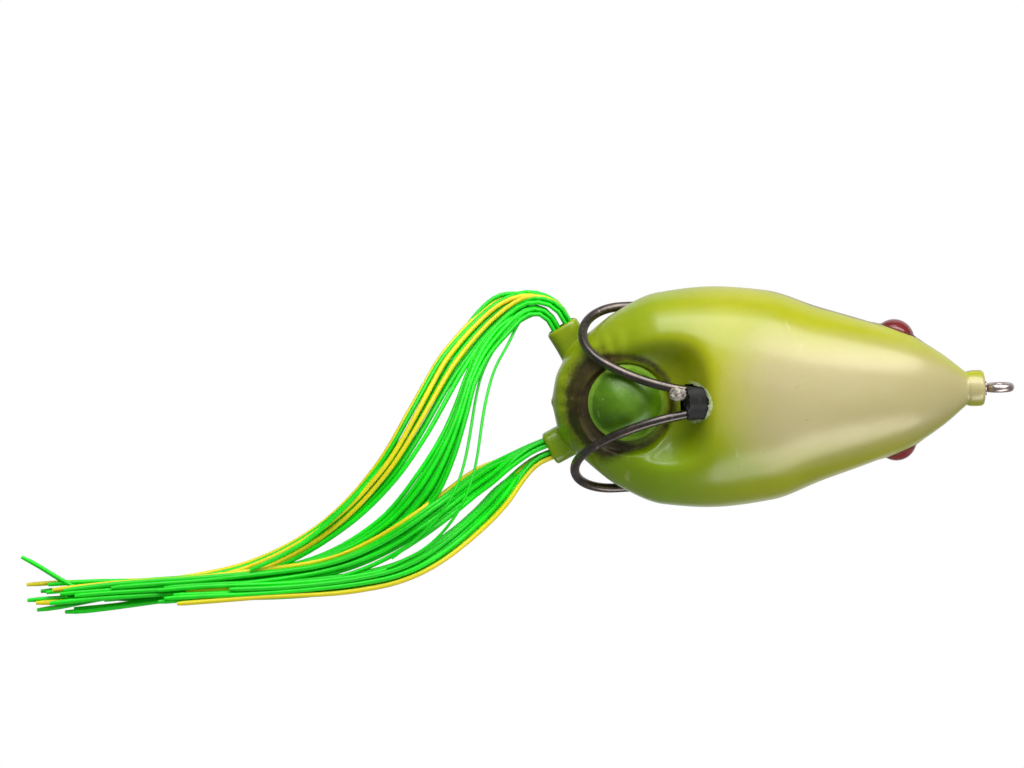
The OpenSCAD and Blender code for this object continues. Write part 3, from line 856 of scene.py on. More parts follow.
def sleeve_finish(colours):
    """Matt black heat-shrink tube, crinkled across and greyed where it is rubbed."""
    f = Finish("Black sleeve", Roughness=0.62, IOR=1.45)
    t = f.tree
    worn = use_group(t, "Scuffs", f.place, Size=0.8, Amount=0.35)
    f.link("Base Color", mix_colours(t, worn, tuple(colours.sleeve), srgb(92, 92, 90)))
    crinkle = noise(t, f.place, 0.8, 4, 0.6, stretch=(2.2, 1.0, 1.0))
    f.bump(math_node(t, "ADD", crinkle, use_group(t, "Grain", f.place, Peel=0.2, Grit=0.4)), 0.6, 0.12)
    return f.material


def glue_finish(colours):
    """Set grey glue with dust in it: rough lumps with a dull shine on the tops."""
    f = Finish("Set glue", IOR=1.5, Coat_Weight=0.4, Coat_Roughness=0.3)
    t = f.tree
    f.link("Base Color", use_group(t, "Mottle", f.place, First=tuple(colours.glue), Second=srgb(98, 88, 78),
        Size=0.45, Hardness=0.6))
    f.link("Roughness", math_node(t, "ADD", math_node(t, "MULTIPLY", noise(t, f.place, 3.0, 4), 0.5), 0.2))
    f.bump(noise(t, f.place, 2.4, 5, 0.65), 0.9, 0.3)
    return f.material


def seal_finish(colours):
    """Milky sealant."""
    f = Finish("Nose sealant", IOR=1.42, Subsurface_Weight=0.3, Subsurface_Scale=0.001)
    t = f.tree
    f.link("Base Color", use_group(t, "Mottle", f.place, First=tuple(colours.sealant),
        Second=srgb(178, 176, 130), Size=1.0, Hardness=0.3))
    f.link("Roughness", math_node(t, "ADD", math_node(t, "MULTIPLY", noise(t, f.place, 1.5), 0.3), 0.3))
    f.bump(use_group(t, "Grain", f.place, Peel=0.8, Grit=0.2), 0.5, 0.15)
    return f.material


def weight_finish(colours):
    """Glossy green paint over a cast weight, with whitish scuffs and a painted highlight that makes the
    dome's rim paler.
    """
    f = Finish("Green weight paint", IOR=1.45, Coat_Weight=0.25, Coat_Roughness=0.2)
    t = f.tree
    colour = use_group(t, "Mottle", f.place, First=tuple(colours.weight),
        Second=tuple(colours.weight_shade), Size=4.0, Hardness=0.25)
    broken = math_node(t, "SUBTRACT", noise(t, f.place, 0.9, 5), 0.5)
    # Painted highlight: the dome's outer edge is made paler, standing for reflections on its sloping rim.
    rim = math_node(t, "ADD", f.attribute("rim"), math_node(t, "MULTIPLY", broken, 0.9))
    colour = mix_colours(t, ramp(t, rim, 0.55, 0.95), colour, srgb(126, 168, 48))
    scuffs = use_group(t, "Scuffs", f.place, Size=1.6, Amount=0.75)
    colour = mix_colours(t, scuffs, colour, srgb(196, 214, 150))
    f.link("Base Color", colour)
    rough = math_node(t, "ADD", math_node(t, "MULTIPLY", noise(t, f.place, 1.1, 4), 0.3), 0.25)
    f.link("Roughness", math_node(t, "ADD", rough, math_node(t, "MULTIPLY", scuffs, 0.3)))
    f.bump(math_node(t, "ADD", use_group(t, "Grain", f.place, Peel=1.0, Grit=0.15), scuffs), 0.35, 0.16)
    return f.material


def brass_finish(colours):
    """Turned brass, a little tarnished."""
    f = Finish("Brass", Metallic=1.0)
    t = f.tree
    f.link("Base Color", use_group(t, "Mottle", f.place, First=tuple(colours.brass),
        Second=srgb(138, 104, 52), Size=2.0, Hardness=0.3))
    f.link("Roughness", math_node(t, "ADD", math_node(t, "MULTIPLY", noise(t, f.place, 2.0), 0.3), 0.15))
    f.bump(use_group(t, "Grain", f.place, Peel=0.3, Grit=0.5), 0.3, 0.05)
    return f.material


def eye_rim_finish(colours):
    """Dark red moulded rim round the eye, worn paler on its edge."""
    f = Finish("Eye rim", Roughness=0.3, Coat_Weight=0.5, Coat_Roughness=0.12)
    t = f.tree
    worn = use_group(t, "Scuffs", f.place, Size=0.7, Amount=0.5)
    f.link("Base Color", mix_colours(t, worn, tuple(colours.eye_rim), srgb(186, 110, 100)))
    f.bump(use_group(t, "Grain", f.place, Peel=0.4, Grit=0.3), 0.3, 0.06)
    return f.material


def eye_foil_finish(colours):
    """Red metal foil with crushed flakes and a black pupil."""
    f = Finish("Red foil", Metallic=0.5)
    t = f.tree
    cells = add_node(t, "ShaderNodeTexVoronoi", sockets={"Scale": 2.6 / MM})
    t.links.new(f.place, cells.inputs["Vector"])
    flakes = ramp(t, cells.outputs["Distance"], 0.1, 0.75)
    foil = mix_colours(t, flakes, tuple(colours.eye), srgb(236, 140, 120))
    pupil = ramp(t, f.attribute("radius"), 0.40, 0.44)
    f.link("Base Color", mix_colours(t, pupil, srgb(12, 8, 8), foil))
    f.link("Roughness", math_node(t, "ADD", math_node(t, "MULTIPLY", flakes, 0.25), 0.18))
    f.bump(cells.outputs["Distance"], 0.6, 0.1)
    return f.material


def eye_dome_finish(colours):
    """Clear red-tinted resin dome, with paler streaks that are painted highlights."""
    f = Finish("Red resin dome", Roughness=0.06, IOR=1.5, Transmission_Weight=0.7, Coat_Weight=0.6,
        Coat_Roughness=0.03)
    t = f.tree
    # Painted highlight: paler streaks in the red stand for reflections on the dome.
    painted_highlight_streaks = noise(t, f.place, 0.5, 4, 0.6, stretch=(0.6, 1.6, 2.4))
    f.link("Base Color", mix_colours(t, ramp(t, painted_highlight_streaks, 0.5, 0.72), tuple(colours.dome), srgb(196, 88, 84)))
    f.bump(use_group(t, "Grain", f.place, Peel=0.5, Grit=0.0), 0.15, 0.05)
    return f.material


def band_finish(colours):
    """Dull crimped steel."""
    f = Finish("Crimped steel", Metallic=1.0)
    t = f.tree
    f.link("Base Color", use_group(t, "Mottle", f.place, First=tuple(colours.band), Second=srgb(60, 60, 58),
        Size=1.2, Hardness=0.3))
    f.link("Roughness", math_node(t, "ADD", math_node(t, "MULTIPLY", noise(t, f.place, 2.0), 0.3), 0.3))
    f.bump(use_group(t, "Grain", f.place, Peel=0.5, Grit=0.5), 0.4, 0.06)
    return f.material


def strand_finish(name, colour, shade):
    """Silicone strand: two close colours, darker or lighter from strand to strand, with a faint grain."""
    f = Finish(name, IOR=1.41, Coat_Weight=0.15, Coat_Roughness=0.3)
    t = f.tree
    colour = use_group(t, "Mottle", f.place, First=tuple(colour), Second=tuple(shade), Size=6.0, Hardness=0.2)
    tone = f.attribute("tone")
    colour = mix_colours(t, tone, colour, tuple(shade))
    f.link("Base Color", colour)
    f.link("Roughness", math_node(t, "ADD", math_node(t, "MULTIPLY", noise(t, f.place, 0.8), 0.25), 0.3))
    f.bump(use_group(t, "Grain", f.place, Peel=0.7, Grit=0.03), 0.1, 0.03)
    return f.material


def floor_finish():
    """Pale floor that is seen from above only: clear from below and to every ray but the camera's."""
    f = Finish("Pale floor", Roughness=0.7)
    t = f.tree
    paper = mix_colours(t, noise(t, f.place, 0.02, 3), srgb(240, 240, 238), srgb(233, 233, 231))
    f.link("Base Color", paper)
    clear = add_node(t, "ShaderNodeBsdfTransparent")
    choose = add_node(t, "ShaderNodeMixShader")
    camera = add_node(t, "ShaderNodeLightPath").outputs["Is Camera Ray"]
    below = add_node(t, "ShaderNodeNewGeometry").outputs["Backfacing"]
    t.links.new(math_node(t, "MULTIPLY", camera, math_node(t, "SUBTRACT", 1.0, below)), choose.inputs["Fac"])
    t.links.new(clear.outputs[0], choose.inputs[1])
    t.links.new(f.shader.outputs[0], choose.inputs[2])
    t.links.new(choose.outputs[0], t.nodes["Material Output"].inputs["Surface"])
    return f.material


# ---- Sizes and colours that a user may change ----


def length_property(name, description, millimetres):
    """A length in metres, given in millimetres."""
    return bpy.props.FloatProperty(name=name, description=description, default=millimetres * MM,
        unit="LENGTH", min=0.0, precision=5)


def colour_property(name, description, *screen):
    """A colour, given by its 0–255 screen values."""
    return bpy.props.FloatVectorProperty(name=name, description=description, default=srgb(*screen), size=4,
        subtype="COLOR", min=0.0, max=1.0)


class LureBodySizes(bpy.types.PropertyGroup):
    half_width: length_property("Half width", "Half width of the body at its widest", 15.3)
    back_height: length_property("Back height", "Height of the back above the nose line", 10.3)
    belly_depth: length_property("Belly depth", "Depth of the belly below the nose line", 12.2)
    wall: length_property("Wall", "Thickness of the soft wall", 1.2)
    leg_radius: length_property("Leg radius", "Outer radius of a leg socket", 2.35)
    leg_hole: length_property("Leg hole", "Radius of the hole in a leg socket", 1.95)


class LureHookSizes(bpy.types.PropertyGroup):
    wire: length_property("Wire", "Diameter of the hook wire", 1.3)
    eye_radius: length_property("Line-tie radius", "Outer radius of the line-tie eye", 2.1)
    line_hole: length_property("Line hole", "Radius of the hole that the line goes through", 0.9)
    shank: length_property("Shank", "From the eye's centre to the bends, along the shanks", 38.6)
    half_gap: length_property("Half gap", "Half the distance between the two shanks", 1.1)
    long_bend: length_property("Long bend", "Radius of the long lower bend", 22)
    tight_bend: length_property("Tight bend", "Radius of the tight upper bend", 7.2)
    point: length_property("Point", "Length of a point, from the bend to the tip", 10)
    slope: bpy.props.FloatProperty(name="Slope", description="Slope of the shanks down from the nose",
        default=math.radians(13.5), subtype="ANGLE")
    lean: bpy.props.FloatProperty(name="Lean", description="Lean of each hook out from upright",
        default=math.radians(36), subtype="ANGLE")
    bend_turn: bpy.props.FloatProperty(name="Long bend's turn", description="How far the long bend turns",
        default=math.radians(50), subtype="ANGLE")


class LureWeightEyeSizes(bpy.types.PropertyGroup):
    weight_radius: length_property("Weight radius", "Radius of the tail weight's dome", 5.25)
    weight_dome: length_property("Weight height", "Height of the tail weight's dome", 3.1)
    eye_radius: length_property("Eye radius", "Radius of an eye", 2.5)
    eye_dome: length_property("Eye dome", "Height of an eye's dome above its foil", 1.5)


class LureSkirtSizes(bpy.types.PropertyGroup):
    strand: length_property("Strand", "Diameter of a strand", 0.66)
    spread: bpy.props.FloatProperty(name="Spread", description="How far the strands fan out", default=1.0,
        min=0.5, max=1.5)
    seed: bpy.props.IntProperty(name="Seed", description="Chooses the strands' small differences", default=7)


class LureColours(bpy.types.PropertyGroup):
    flank: colour_property("Flank", "Green of the flanks", 180, 181, 14)
    flank_shade: colour_property("Flank shade", "Darker green of the flanks", 154, 160, 4)
    # Painted shade: this green also stands for shade on the left flank.
    flank_deep_and_shade: colour_property("Deep flank", "Deeper green round the tail and on the legs", 124, 156, 0)
    belly: colour_property("Belly", "Pearl of the belly", 194, 184, 136)
    belly_shade: colour_property("Belly shade", "Darker pearl of the belly", 180, 170, 114)
    # This brown is also painted as shade in the gap round the weight.
    overspray_and_shade: colour_property("Overspray", "Brown paint round the tail", 44, 34, 2)
    back: colour_property("Back", "Olive brown of the back", 88, 74, 34)
    wire: colour_property("Wire", "Black nickel of the hook", 84, 80, 78)
    wire_warm: colour_property("Warm wire", "Warmer tone of the hook", 114, 102, 95)
    sleeve: colour_property("Sleeve", "Black of the sleeve", 18, 18, 18)
    glue: colour_property("Glue", "Grey of the set glue", 186, 180, 166)
    sealant: colour_property("Sealant", "Milky sealant in the nose", 214, 212, 178)
    weight: colour_property("Weight", "Green of the weight", 92, 138, 4)
    weight_shade: colour_property("Weight shade", "Darker green of the weight", 66, 108, 0)
    brass: colour_property("Brass", "Brass of the washer", 190, 152, 84)
    eye_rim: colour_property("Eye rim", "Dark red of the eye's rim", 112, 26, 24)
    eye: colour_property("Eye", "Red of the foil", 150, 26, 30)
    dome: colour_property("Dome", "Tint of the eye's dome", 158, 40, 42)
    band: colour_property("Band", "Steel of the skirt bands", 104, 102, 98)
    strand_green: colour_property("Green strand", "Green of the strands", 0, 240, 14)
    strand_green_shade: colour_property("Green strand shade", "Darker green of the strands", 0, 194, 4)
    strand_yellow: colour_property("Yellow strand", "Yellow of the strands", 238, 226, 16)
    strand_yellow_shade: colour_property("Yellow strand shade", "Darker yellow of the strands", 214, 200, 8)


class LureStageSettings(bpy.types.PropertyGroup):
    distance: length_property("Camera distance", "From the camera to the lure", 500)
    lens: bpy.props.FloatProperty(name="Lens", description="Focal length in millimetres", default=126.8,
        min=20)
    tilt: bpy.props.FloatProperty(name="Tilt",
        description="How far the camera stands to the lure's right of straight below",
        default=math.radians(4.5), subtype="ANGLE")
    roll: bpy.props.FloatProperty(name="Roll", description="How far the nose is turned up in the view",
        default=math.radians(1.85), subtype="ANGLE")


# ---- Pieces ----


def place_piece(piece, body, slot, *nodes):
    """Makes a piece ride on a body and stand for CAD nodes, whose parts it hides; slot is not used."""
    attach(piece, body)
    if nodes:
        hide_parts(*nodes)
    return piece


def area_light(name, place, size, power, target=(-0.05, 0.005, 0), colour=(1, 1, 1)):
    """A rectangular soft light, size wide and high, that faces the target."""
    data = bpy.data.lights.new(name, "AREA")
    data.shape = "RECTANGLE"
    data.size, data.size_y = size
    data.energy, data.color = power, colour
    lamp = bpy.data.objects.new(name, data)
    lamp.location = place
    lamp.rotation_euler = (Vector(target) - Vector(place)).to_track_quat("-Z", "Y").to_euler()
    bpy.context.collection.objects.link(lamp)


class LURE_OT_stage(bpy.types.Operator):
    """Makes the camera, the lights, the white surroundings and the floor"""

    bl_idname = "lure.stage"
    bl_label = "Stage"

    def execute(self, context):
        s = context.scene.lure_stage
        target = Vector((-67.5, -2.65, 0)) * MM
        up = Vector((0, -math.cos(s.tilt), math.sin(s.tilt)))
        right = math.cos(s.roll) * Vector((1, 0, 0)) - math.sin(s.roll) * up
        rolled = math.sin(s.roll) * Vector((1, 0, 0)) + math.cos(s.roll) * up
        back = right.cross(rolled)
        data = bpy.data.cameras.new("Camera")
        data.lens, data.sensor_width = s.lens, 36
        data.clip_start, data.clip_end = 0.01, 20
        camera = bpy.data.objects.new("Camera", data)
        turn = Matrix((right, rolled, back)).transposed().to_4x4()
        camera.matrix_world = Matrix.Translation(target + s.distance * back) @ turn
        context.collection.objects.link(camera)
        context.scene.camera = camera
        context.scene.view_settings.view_transform = "Standard"

        area_light("Key below", (0.1, -0.58, -0.37), (1.1, 0.56), 8.0)
        area_light("Strip below", (0.1, -0.26, -0.66), (1.1, 0.3), 0.9)
        area_light("Side below", (-0.1, -0.65, -0.1), (0.5, 0.3), 0.7)
        area_light("Fill below", (0.2, 0.58, -0.34), (0.7, 0.4), 2.6)
        area_light("Large light above", (0.15, -0.2, 0.9), (1.8, 1.8), 5.0)

        world = bpy.data.worlds.new("White surroundings")
        world.use_nodes = True
        t = world.node_tree
        seen = math_node(t, "MULTIPLY", add_node(t, "ShaderNodeLightPath").outputs["Is Camera Ray"], 0.8)
        t.links.new(math_node(t, "ADD", seen, 0.2), t.nodes["Background"].inputs["Strength"])
        t.nodes["Background"].inputs["Color"].default_value = (1, 1, 1, 1)
        context.scene.world = world

        z = CAD_BOX[0][2] - 0.02 * MM
        half = 0.9
        grid = [(-half, -half, z), (half, -half, z), (half, half, z), (-half, half, z)]
        mesh = bpy.data.meshes.new("Floor")
        mesh.from_pydata(grid, [], [(0, 1, 2, 3)])
        mesh.materials.append(floor_finish())
        floor = bpy.data.objects.new("Floor", mesh)
        context.collection.objects.link(floor)
        return {"FINISHED"}


def strand_slots(count):
    """Places of count strands in a bundle: two tall columns at the socket, and three flat layers behind."""
    k = np.arange(count)
    tall = np.stack([np.where(k % 2, 0.34, -0.34), (k - (count - 1) / 2) * 0.3], axis=1)
    flat = np.stack([(k - (count - 1) / 2) * 0.3, (k % 3 - 1) * 0.52], axis=1)
    return tall, flat


def strand_line(route, lie, tall, flat, reach, spread, stray, rng, floor):
    """One strand: the bundle's line plus side·u + top·v, where (u, v) goes from its tall to its flat place.

    A wander is added, the sum of three sines along the line, whose size grows away from the socket. A stray
    tip turns away by stray. Heights stay above the floor: the larger of z and floor.
    """
    run = np.linspace(0, 1, len(route))
    far = run * line_length(route)
    at, left, up, width = np.array(lie).T
    route = route + np.stack([0 * far, np.interp(far, at, left), np.interp(far, at, up)], axis=1)
    along = directions(route)
    side = unit(np.cross([0, 0, 1], along))
    top = np.cross(along, side)
    open_share = smoothstep(2, 14, far)
    fan = 1 + spread * (np.interp(far, at, width) - 1)
    fanned = flat * np.stack([fan, 0 * fan + 1], axis=1)
    place = (1 - open_share)[:, None] * tall + open_share[:, None] * fanned
    sway = np.zeros((len(route), 2))
    for k in range(3):
        size, turns = rng.uniform(0.5, 1.0) / (k + 1), rng.uniform(0.6, 1.1) * (k + 1)
        across, upwards = rng.uniform(0, TURN, 2)
        sway[:, 0] += size * np.sin(turns * TURN * run * 1.3 + across)
        sway[:, 1] += size * 0.5 * np.cos(turns * TURN * run + upwards)
    place = place + sway * (0.18 * smoothstep(5, 30, far) + 0.3 * smoothstep(66, 90, far))[:, None]
    line = route + side * place[:, :1] + top * place[:, 1:]
    line[:, 1] += stray * smoothstep(78, 101, far) ** 2
    line[:, 2] = np.maximum(line[:, 2], floor)
    return even_steps(line[run <= reach], 64)


class LURE_OT_skirts(bpy.types.Operator):
    """Makes the two skirts: every strand is a cord of its own, gripped in a leg and lying on the floor"""

    bl_idname = "lure.skirts"
    bl_label = "Skirts"

    def execute(self, context):
        s, c = context.scene.lure_skirts, context.scene.lure_colours
        green = strand_finish("Green silicone strand", c.strand_green, c.strand_green_shade)
        yellow = strand_finish("Yellow silicone strand", c.strand_yellow, c.strand_yellow_shade)
        rng = np.random.default_rng(s.seed)
        floor = CAD_BOX[0][2] / MM + s.strand / MM / 2
        plan = {
            "left_inner": (9, {8}),
            "left_outer": (9, {0, 5}),
            "right_inner": (9, set()),
            "right_outer": (9, {3, 6, 8}),
        }
        for bundle, (count, yellows) in plan.items():
            leg = bundle.split("_")[0]
            route = smooth_route(self.from_socket(ROUTES[bundle], leg), 160)
            tall, flat = strand_slots(count)
            for k in range(count):
                reach = 1 - abs(rng.normal(0, 0.035)) - (0.09 if k % 4 == 2 else 0)
                stray = STRAY_TIPS.get((bundle, k), 0)
                reach = 1 if stray else reach
                line = strand_line(route, LIE[bundle], tall[k], flat[k], reach, s.spread, stray, rng, floor)
                material = yellow if k in yellows else green
                self.make_strand(f"strand_{bundle}_{k + 1}", line, s.strand / MM / 2, material, bundle, rng)
        for name, (bundle, radius, points) in STRAYS.items():
            line = smooth_route(points, 64)
            line[:, 2] = np.maximum(line[:, 2], floor)
            self.make_strand(f"strand_{name}", line, radius, green, bundle, rng)
        return {"FINISHED"}

    def from_socket(self, points, leg):
        """The route with a first stretch inside the leg, square to its mouth."""
        _, angle = LEGS[leg]
        out = np.array([math.cos(math.radians(angle)), math.sin(math.radians(angle)), 0])
        start = np.array(points[0], float)
        return np.concatenate([[start - 1.3 * out, start - 0.5 * out], np.array(points[1:], float)])

    def make_strand(self, name, line, radius, material, bundle, rng):
        """A tube along the line with rounded ends and a slightly uneven thickness: r·(1 + 0.05·sin)."""
        run = np.linspace(0, 1, len(line))
        uneven = 1 + 0.05 * np.sin(TURN * (3 * run + rng.uniform()))
        r = radius * uneven
        r[-1] *= 0.75
        piece = new_piece(name, [closed_solid(tube(line, r, 10))], material, sharp=60)
        put_attribute(piece.data, "tone", np.full(len(piece.data.vertices), rng.uniform(0, 0.75)))
        leg = bundle.split("_")[0]
        place_piece(piece, f"skirt_{leg}", "strand_yellow" if "Yellow" in material.name else "strand_green",
            f"skirt_{bundle}")


class LURE_OT_body(bpy.types.Operator):
    """Makes the hollow soft body: skin, collar, legs, slot and the pocket for the weight"""

    bl_idname = "lure.body"
    bl_label = "Body"

    def execute(self, context):
        sizes, colours = context.scene.lure_body, context.scene.lure_colours
        rng = np.random.default_rng(3)
        skin = new_piece("frog_body", [closed_solid(skin_rings(sizes))], body_skin_finish(colours))
        for side in LEGS:
            leg = closed_solid(leg_rings(side, sizes.leg_radius / MM, LEG_LENGTH, 0))
            cut_with(skin, new_piece("leg", [leg], []), "UNION")
        hollow = body_rings(np.linspace(-8, -61.0, 120), 128, sizes.wall / MM, sizes)
        hollow, _, _ = pocket_floor(hollow, 0.8, POCKET["z"] + 0.8)
        cut_with(skin, new_piece("hollow", [closed_solid(hollow)], []), "DIFFERENCE")
        for side in LEGS:
            hole = closed_solid(leg_rings(side, sizes.leg_hole / MM, LEG_LENGTH + 1.2, 1.5, rows=24))
            cut_with(skin, new_piece("leg_hole", [hole], []), "DIFFERENCE")
        cut_with(skin, new_piece("slot", [closed_solid(slot_rings(rng))], []), "DIFFERENCE")
        self.soften_joins(skin.data)
        # The brown mask holds painted shade round the weight, and the deeper-green mask painted shade on the
        # left flank.
        masks = paint_masks(coordinates(skin.data) / MM, sizes)
        for name, values in zip(("cream", "back", "brown", "deeper_green_and_shade"), masks):
            put_attribute(skin.data, name, values)
        finish_mesh(skin.data, 42)
        place_piece(skin, "body", "body_skin", "body_shell")
        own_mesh(skin)
        return {"FINISHED"}

    def soften_joins(self, mesh):
        """Rounds the skin where the legs leave it."""
        p = coordinates(mesh) / MM
        weight = np.zeros(len(p))
        for side in LEGS:
            out = at_leg(np.array([0, 0, 1.0]), side) - at_leg(np.zeros(3), side)
            rel = p - at_leg(np.zeros(3), side)
            along = rel @ out
            r = np.linalg.norm(rel - along[:, None] * out, axis=1)
            outside = smoothstep(2.05, 2.2, r) * smoothstep(4.6, 3.4, r)
            weight = np.maximum(weight, outside * smoothstep(-6.5, -5, along) * smoothstep(-1.2, -2.2, along))
        soften(mesh, 0.6 * weight, 14)


def wire_route(h, side):
    """Centreline of one hook wire in the shanks' frame: shank, long bend, tight bend and straight point.

    In its own plane, u back along the shank and v away from it, the bends are (u0 + r·sin a, v0 ∓ r·cos a).
    The plane leans out by the hook's lean, and the shank comes in to its twin at the nose by 3t² − 2t³.
    """
    r1, r2, gap = h.long_bend / MM, h.tight_bend / MM, h.half_gap / MM
    shank, point = h.shank / MM, h.point / MM
    centre = np.array([shank + (r1 - r2) * math.sin(h.bend_turn), r1 - (r1 - r2) * math.cos(h.bend_turn)])
    u = np.linspace(2, shank, 60, endpoint=False)
    t = np.clip((u - 2) / 20, 0, 1)
    near = 0.35 + (gap - 0.35) * t * t * (3 - 2 * t)
    shank_line = np.stack([-u, side * near, 0 * u], axis=1)
    a = np.linspace(0, h.bend_turn, 36, endpoint=False)
    b = np.linspace(h.bend_turn, math.pi, 48, endpoint=False)
    c = np.linspace(0, point, 30)
    flat = np.concatenate([
        np.stack([shank + r1 * np.sin(a), r1 * (1 - np.cos(a))], axis=1),
        np.stack([centre[0] + r2 * np.sin(b), centre[1] - r2 * np.cos(b)], axis=1),
        np.stack([centre[0] - c, centre[1] + r2 + 0 * c], axis=1)])
    bends = np.stack([-flat[:, 0], side * (gap + flat[:, 1] * math.sin(h.lean)),
        flat[:, 1] * math.cos(h.lean)], axis=1)
    return np.concatenate([shank_line, bends])


class LURE_OT_hook(bpy.types.Operator):
    """Makes the double hook: line-tie eye, two shanks, bends, needle points and barbs"""

    bl_idname = "lure.hook"
    bl_label = "Double hook"

    def execute(self, context):
        h = context.scene.lure_hook
        slope = math.degrees(h.slope)
        solids = [self.line_tie(h)] + [self.wire(h, side) for side in (1, -1)]
        solids = [(on_shanks(vertices, slope), faces) for vertices, faces in solids]
        hook = new_piece("double_hook_wire", solids, hook_finish(context.scene.lure_colours), sharp=60)
        p = coordinates(hook.data) / MM
        # Painted reflection: marks the line-tie eye, which is painted paler.
        put_attribute(hook.data, "painted_eye_reflection", smoothstep(-2.4, -1.2, p[:, 0]))
        place_piece(hook, "hook", "hook_steel", "double_hook")
        return {"FINISHED"}

    def line_tie(self, h):
        """The eye: a torus, ((R + r·cos b)·cos a, r·sin b, (R + r·cos b)·sin a)."""
        outer, hole = h.eye_radius / MM, h.line_hole / MM
        middle, r = (outer + hole) / 2, (outer - hole) / 2
        a = np.linspace(0, TURN, 96, endpoint=False)[:, None]
        b = np.linspace(0, TURN, 28, endpoint=False)[None]
        away = middle + r * np.cos(b)
        rings = np.stack([away * np.cos(a), 1.04 * r * np.sin(b) + 0 * a, away * np.sin(a)], axis=-1)
        return closed_solid(rings, closed=True)

    def wire(self, h, side):
        """One wire: a tube that tapers to the tip as a power of 0.75, with a barb inside the point."""
        path = wire_route(h, side)
        path[:, 0] -= UNEVEN_BENDS[side] * smoothstep(h.shank / MM - 16, h.shank / MM, -path[:, 0])
        steps = np.linalg.norm(np.diff(path, axis=0), axis=1)
        left = line_length(path) - np.concatenate([[0], np.cumsum(steps)])
        r = h.wire / MM / 2 * np.clip((left + 0.05) / 4.2, 0.03, 1) ** 0.75
        across = np.array([0, math.cos(h.lean), -side * math.sin(h.lean)])
        rings = tube(path, r, 24, side_axis=across)
        centre = rings.mean(axis=1, keepdims=True)
        inward = np.array([0, -side * math.sin(h.lean), -math.cos(h.lean)])
        facing = np.clip(((rings - centre) @ inward) / r[:, None], 0, 1) ** 6
        barb = np.clip((left - 4.2) / 0.2, 0, 1) * np.clip((6.2 - left) / 1.9, 0, 1)
        rings = rings + (0.5 * barb[:, None] * facing)[..., None] * (inward + np.array([-0.5, 0, 0]))
        return closed_solid(rings)


class LURE_OT_sleeve(bpy.types.Operator):
    """Makes the black sleeve on the shanks, the bead of set glue behind it and the sealant in the nose"""

    bl_idname = "lure.sleeve"
    bl_label = "Sleeve, glue and sealant"

    def execute(self, context):
        h, c = context.scene.lure_hook, context.scene.lure_colours
        slope = math.degrees(h.slope)
        rng = np.random.default_rng(11)
        sleeve = new_piece("hook_sleeve_tube", [self.sleeve(slope, rng)], sleeve_finish(c), sharp=60)
        place_piece(sleeve, "hook", "sleeve_black", "hook_sleeve")
        glue = new_piece("hook_glue_bead", [self.glue(slope, rng)], glue_finish(c))
        place_piece(glue, "hook", "set_glue", "hook_glue")
        seal = new_piece("nose_sealant", [self.seal(slope)], seal_finish(c))
        place_piece(seal, "hook", "set_glue", "nose_seal")
        return {"FINISHED"}

    def sleeve(self, slope, rng):
        """A flat oval tube pulled in between the wires, with ragged ends that close on the wires."""
        columns = 96
        a = np.arange(columns) * TURN / columns
        width, thick = 2.22, 1.2
        y = width * signed_power(np.cos(a), 0.8)
        z = thick * signed_power(np.sin(a), 0.8) * (1 - 0.16 * np.exp(-((y / 0.55) ** 2)))
        run = np.concatenate([[0, 0, 0], np.linspace(0, 1, 26), [1, 1, 1]])
        inset = np.concatenate([[0.5, 0.72, 0.92], np.ones(26), [0.92, 0.72, 0.5]])
        ragged = [
            sum(rng.uniform(0.04, 0.12) * np.sin(k * a + rng.uniform(0, TURN)) for k in (3, 7, 11, 19))
            for _ in range(2)]
        crinkle = 0.03 * np.sin(42 * run[:, None] + 3 * np.sin(2 * a))
        x = -(33 + ragged[0]) * (1 - run[:, None]) - (45.1 + ragged[1]) * run[:, None]
        scale = inset[:, None] * (1 + crinkle)
        rings = np.stack([x, y * scale, 0.1 + z * scale], axis=-1)
        vertices, faces = closed_solid(rings)
        return on_shanks(vertices, slope), faces

    def glue(self, slope, rng):
        """A lumpy bead: an ellipsoid whose radius is 1 + the sum of a few waves over its surface."""
        v = np.linspace(0.02, math.pi - 0.02, 40)[:, None]
        a = np.arange(64)[None] * TURN / 64
        lumps = sum(
            rng.uniform(0.03, 0.07) * np.sin(k * a + rng.uniform(0, TURN)) * np.sin(m * v + rng.uniform(0, 3))
            for k, m in ((2, 3), (3, 5), (5, 4), (4, 7), (7, 6)))
        r = 1 + lumps * np.sin(v)
        rings = np.stack([r * np.cos(v) * 1.25 + 0 * a, r * np.sin(v) * np.cos(a) * 0.95,
            r * np.sin(v) * np.sin(a) * 0.9], axis=-1)
        vertices, faces = closed_solid(rings + np.array([-46.3, -1.4, 0.1]))
        return on_shanks(vertices, slope), faces

    def seal(self, slope):
        """A bulging ring of sealant round both shanks."""
        profile = rounded_profile([(0, -11.7), (1.5, -11.7), (1.66, -10.6), (1.5, -9.5), (0, -9.5)], 0.4)
        rings = lathe(profile, 48)
        rings = rings + 0.03 * np.sin(7 * rings[..., :1])
        vertices, faces = closed_solid(turned(rings, 0, 90))
        return on_shanks(vertices, slope), faces


